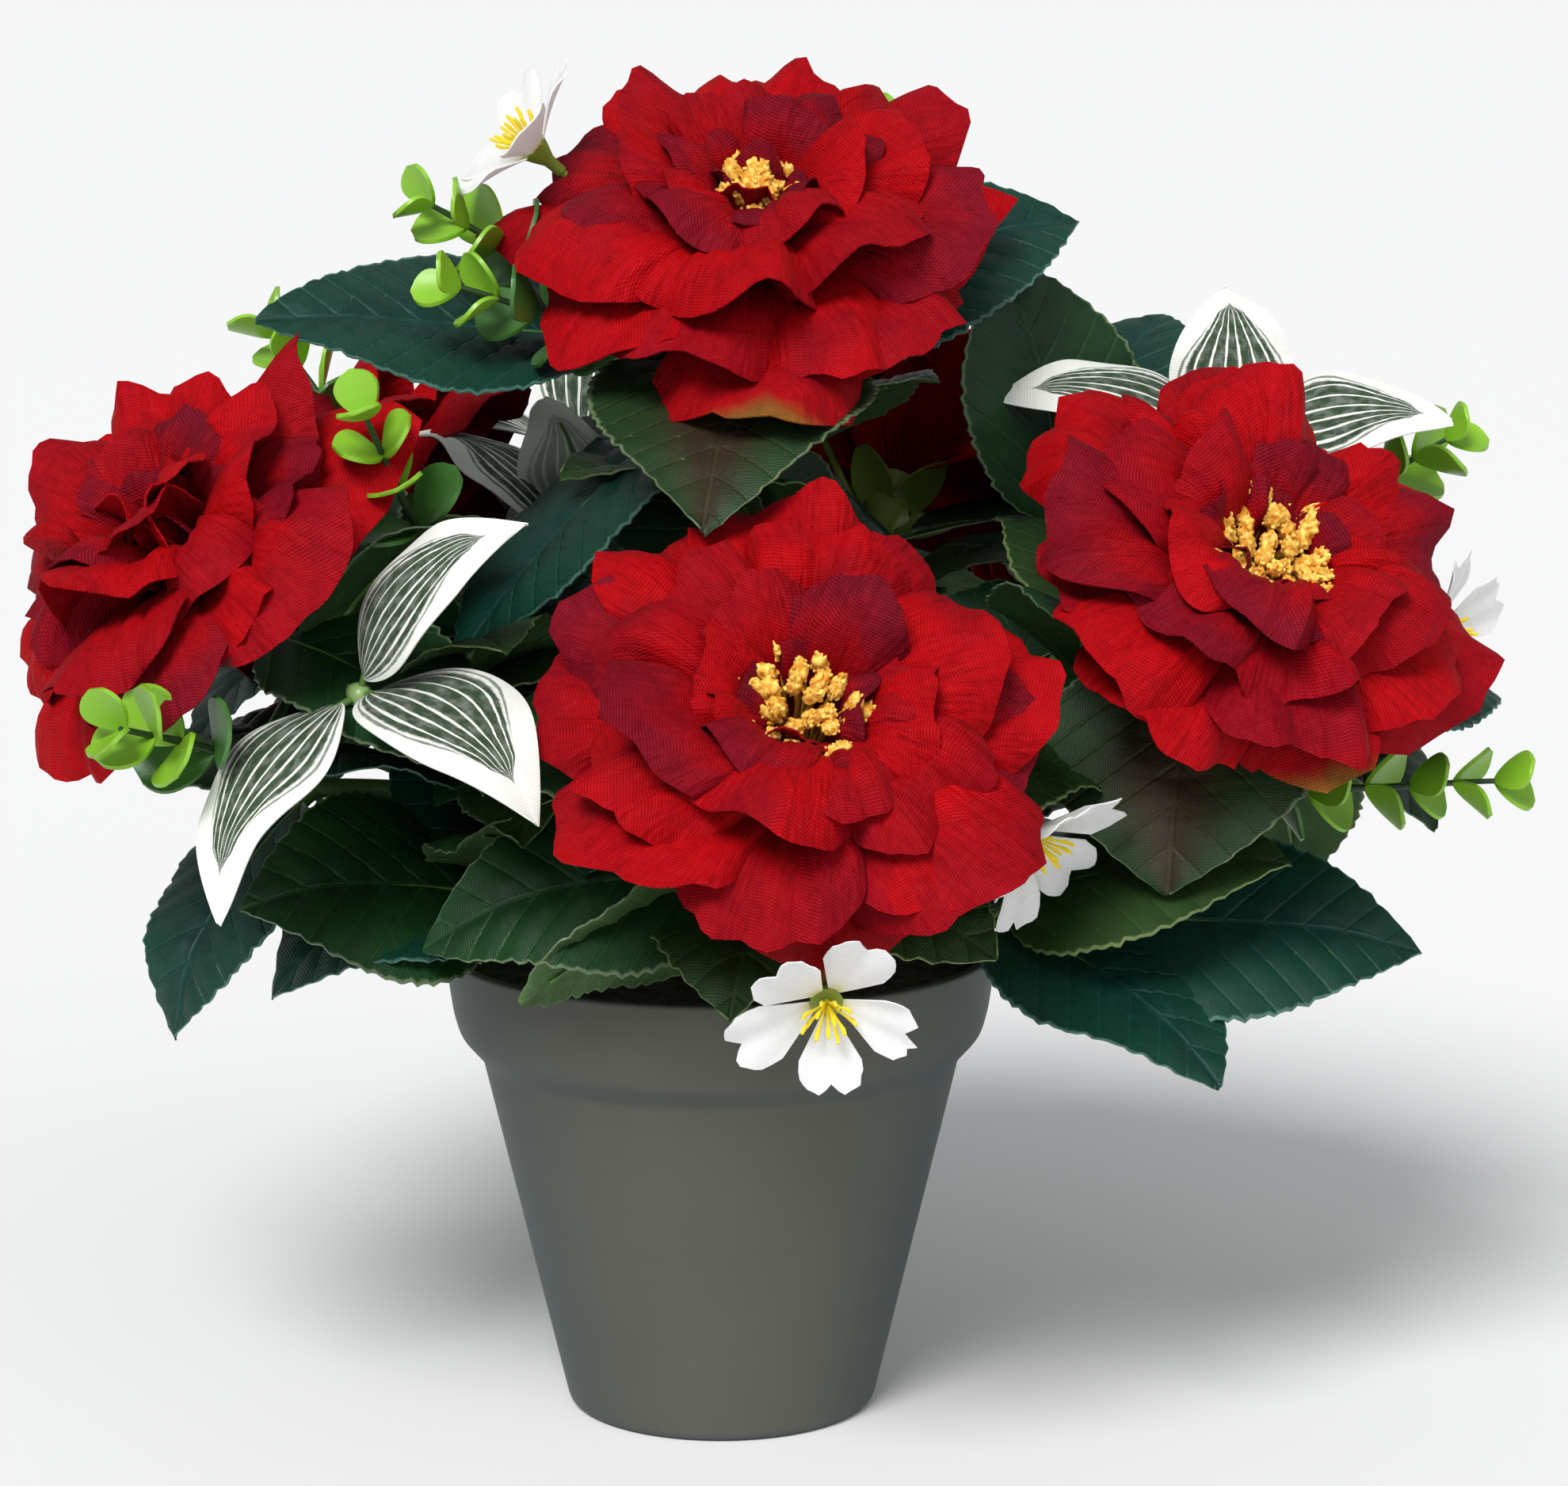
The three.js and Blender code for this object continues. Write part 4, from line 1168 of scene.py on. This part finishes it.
def add_spoon(mesh, foot, out, face, length, finish):
    """A thick cupped leaf, round at its end, that leaves the stem along out and faces face."""
    across = unit(np.cross(out, face))
    face = np.cross(across, out)
    row = np.linspace(0.0, 1, 14)[:, None]
    column = np.linspace(1, -1, 9)[None, :]
    half = length * (0.05 + 0.4 * np.sin(np.pi * row ** 1.3) ** 0.6)
    half = np.maximum(half * (row < 0.999), 0.12 * MM)
    aside = column * half
    forward = row * length + 0 * aside
    height = 0.22 * length * row ** 1.6 * (1 - row * 0.5) + 0.5 * aside ** 2 / length
    grid = (foot + forward[..., None] * out + aside[..., None] * across
            + height[..., None] * face)
    cloth = np.stack([aside, forward], -1)
    mesh.sheet(grid, cloth, place_on(column, row), SPOON_THICKNESS, front=finish)


def make_sprigs():
    for seed, (name, (place, limb, turn, rise, length, pairs)) in enumerate(SPRIGS.items()):
        rng = np.random.default_rng(400 + seed)
        foot = spot(*place)
        along = heading(turn, rise)
        side, over = sideways(along)
        mesh = Gathered()
        bend = over * rng.uniform(-3, 3) * MM + side * rng.uniform(-3, 3) * MM
        reach = along * length
        end = foot + reach * MM
        line = bezier(foot, foot + reach * 0.35 * MM + bend, end - reach * 0.3 * MM, end, 24)
        mesh.body(*tube(line, knobbly(line, 0.95 * MM, 0.55 * MM, seed), 8))
        add_twig(mesh, limb, foot, along, 0.95)
        deep_pairs = 3 if name in DEEP_SPRIGS else 1
        for pair in range(pairs + 1):
            share = min(0.98, (pair + 0.35) / (pairs + 0.4))
            at = line[int(share * 23)]
            spin = math.radians(90 * (pair % 2) + rng.uniform(-15, 15) + 40)
            size = (15.5 - 6.5 * pair / (pairs + 1)) * rng.uniform(0.9, 1.08) * MM
            finish = 2 if pair < deep_pairs else 1
            for half_turn in (0, math.pi):
                out = spoke(side, over, spin + half_turn)
                lift = rng.uniform(0.35, 0.6) + 0.5 * pair / pairs
                leaf_out = unit(out + along * lift)
                add_spoon(mesh, at, leaf_out, unit(along - out * lift), size, finish)
        finishes = [DARK_STEM, SPRIG_LEAF, SPRIG_DEEP]
        mesh.finish(f"sprig_stem_{name}", finishes, "sprig_plastic", f"sprig_{name}")


# ---------------- small white flowers

YELLOW_STAMENS = 14


def make_flowers():
    cup = [(0, -7), (1.2, -6.6), (1.4, -3), (2.6, -0.5), (3.4, 1.5), (2.4, 1.6), (0, 0.4)]
    radii = np.array([0.3, 0.26, 0.26, 0.3, 0.5, 0.34]) * MM
    for seed, (name, (place, limb, turn, rise)) in enumerate(FLOWERS.items()):
        rng = np.random.default_rng(500 + seed)
        foot = spot(*place)
        axis = heading(turn, rise)
        side, over = sideways(axis)
        petals, stamens = Gathered(), Gathered()
        heart = foot + axis * 6 * MM
        for number in range(5):
            angle = 2 * math.pi * number / 5 + rng.uniform(-0.12, 0.12) + seed
            length = 21.5 * rng.uniform(0.94, 1.06)
            add_small_petal(petals, rng, heart, axis, spoke(side, over, angle), length)
        stamens.body(*lathe(cup, 18, heart, axis), finish=1)
        add_twig(stamens, limb, foot, axis, 0.9, finish=1)
        for number in range(YELLOW_STAMENS):
            out = spoke(side, over, number * GOLDEN_TURN)
            spread = 1.5 + 4.5 * math.sqrt(number / YELLOW_STAMENS)
            tip = heart + MM * (out * spread + axis * rng.uniform(6.5, 9.5))
            line = bezier(heart, heart + axis * 3 * MM, tip - axis * 2 * MM, tip, 6)
            stamens.body(*tube(line, radii, 6))
        petals.finish(f"blossom_{name}", [WHITE_CLOTH], "white_fabric", f"flower_{name}")
        stamens.finish(f"blossom_cup_{name}", [YELLOW_TIP, CALYX], "stem_plastic")


def add_small_petal(mesh, rng, heart, axis, out, length):
    """A flat petal with a notch in its end, dished a little along its length."""
    row = np.linspace(0.05, 1, 13)[:, None]
    column = np.linspace(-1, 1, 17)[None, :]
    angle = column * math.radians(29)
    notch = -0.16 * np.exp(-(column / 0.15) ** 2)
    frayed = rng.normal(0, 0.014, column.shape)
    reach = row * (length * (1 - 0.38 * np.abs(column) ** 2.6 + notch + frayed))
    aside = reach * np.sin(angle)
    forward = reach * np.cos(angle)
    slope = math.radians(rng.uniform(26, 40))
    level = forward * math.sin(slope) - 0.16 * forward ** 2 / length
    level = level + 0.45 * np.sin(column * 7 + rng.uniform(0, 6)) * row ** 2 + 0.02 * aside ** 2
    radius = 1.2 + forward * math.cos(slope)
    grid = set_about(heart, axis, out, radius, aside, level)
    cloth = np.stack([aside, forward], -1) * MM
    mesh.sheet(grid, cloth, place_on(column, row), SMALL_PETAL_THICKNESS)


# ---------------- studio

def make_studio():
    floor_mesh = bpy.data.meshes.new("floor")
    reach = 30.0
    corners = [(-reach, -reach, 0), (reach, -reach, 0), (reach, reach, 0), (-reach, reach, 0)]
    floor_mesh.from_pydata(corners, [], [(0, 1, 2, 3)])
    floor = bpy.data.objects.new("floor", floor_mesh)
    bpy.context.scene.collection.objects.link(floor)
    material, _ = new_material("pale floor", 0.9, Base_Color=(0.86, 0.86, 0.86, 1))
    floor_mesh.materials.append(material)

    world = bpy.data.worlds.new("studio")
    bpy.context.scene.world = world
    world.use_nodes = True
    tree = world.node_tree
    glow = tree.nodes["Background"]
    glow.inputs["Color"].default_value = (0.95, 0.97, 1.0, 1)
    seen_by_camera = Signal(tree, tree.nodes.new("ShaderNodeLightPath").outputs[0])
    plug(tree, glow.inputs["Strength"], seen_by_camera * 0.55 + 0.35)

    for name, place, spread, strength in [
        ("key light", (-0.5, -1.5, 1.5), 24, 3.1),
        ("fill light", (0.9, -1.6, 0.9), 60, 0.7),
    ]:
        light = bpy.data.lights.new(name, "SUN")
        light.angle = math.radians(spread)
        light.energy = strength
        lamp = bpy.data.objects.new(name, light)
        lamp.rotation_euler = (-Vector(place)).to_track_quat("-Z", "Y").to_euler()
        bpy.context.scene.collection.objects.link(lamp)
    bpy.context.scene.view_settings.view_transform = "Standard"


def make_camera():
    camera = bpy.data.cameras.new("camera")
    camera.lens = 106.7
    camera.sensor_width = 36
    rig = bpy.data.objects.new("camera", camera)
    rig.location = (0.0137, -0.9842, 0.32306)
    aim = Vector((0.0137, 0.0, 0.146))
    rig.rotation_euler = (aim - rig.location).to_track_quat("-Z", "Y").to_euler()
    bpy.context.scene.collection.objects.link(rig)
    bpy.context.scene.camera = rig


make_camera()
make_studio()
make_pot()
make_filler()
make_main_stem()
make_limbs()
for name, bloom in BLOOMS.items():
    make_bloom(name, bloom)
make_leaves()
make_striped()
make_sprigs()
make_flowers()
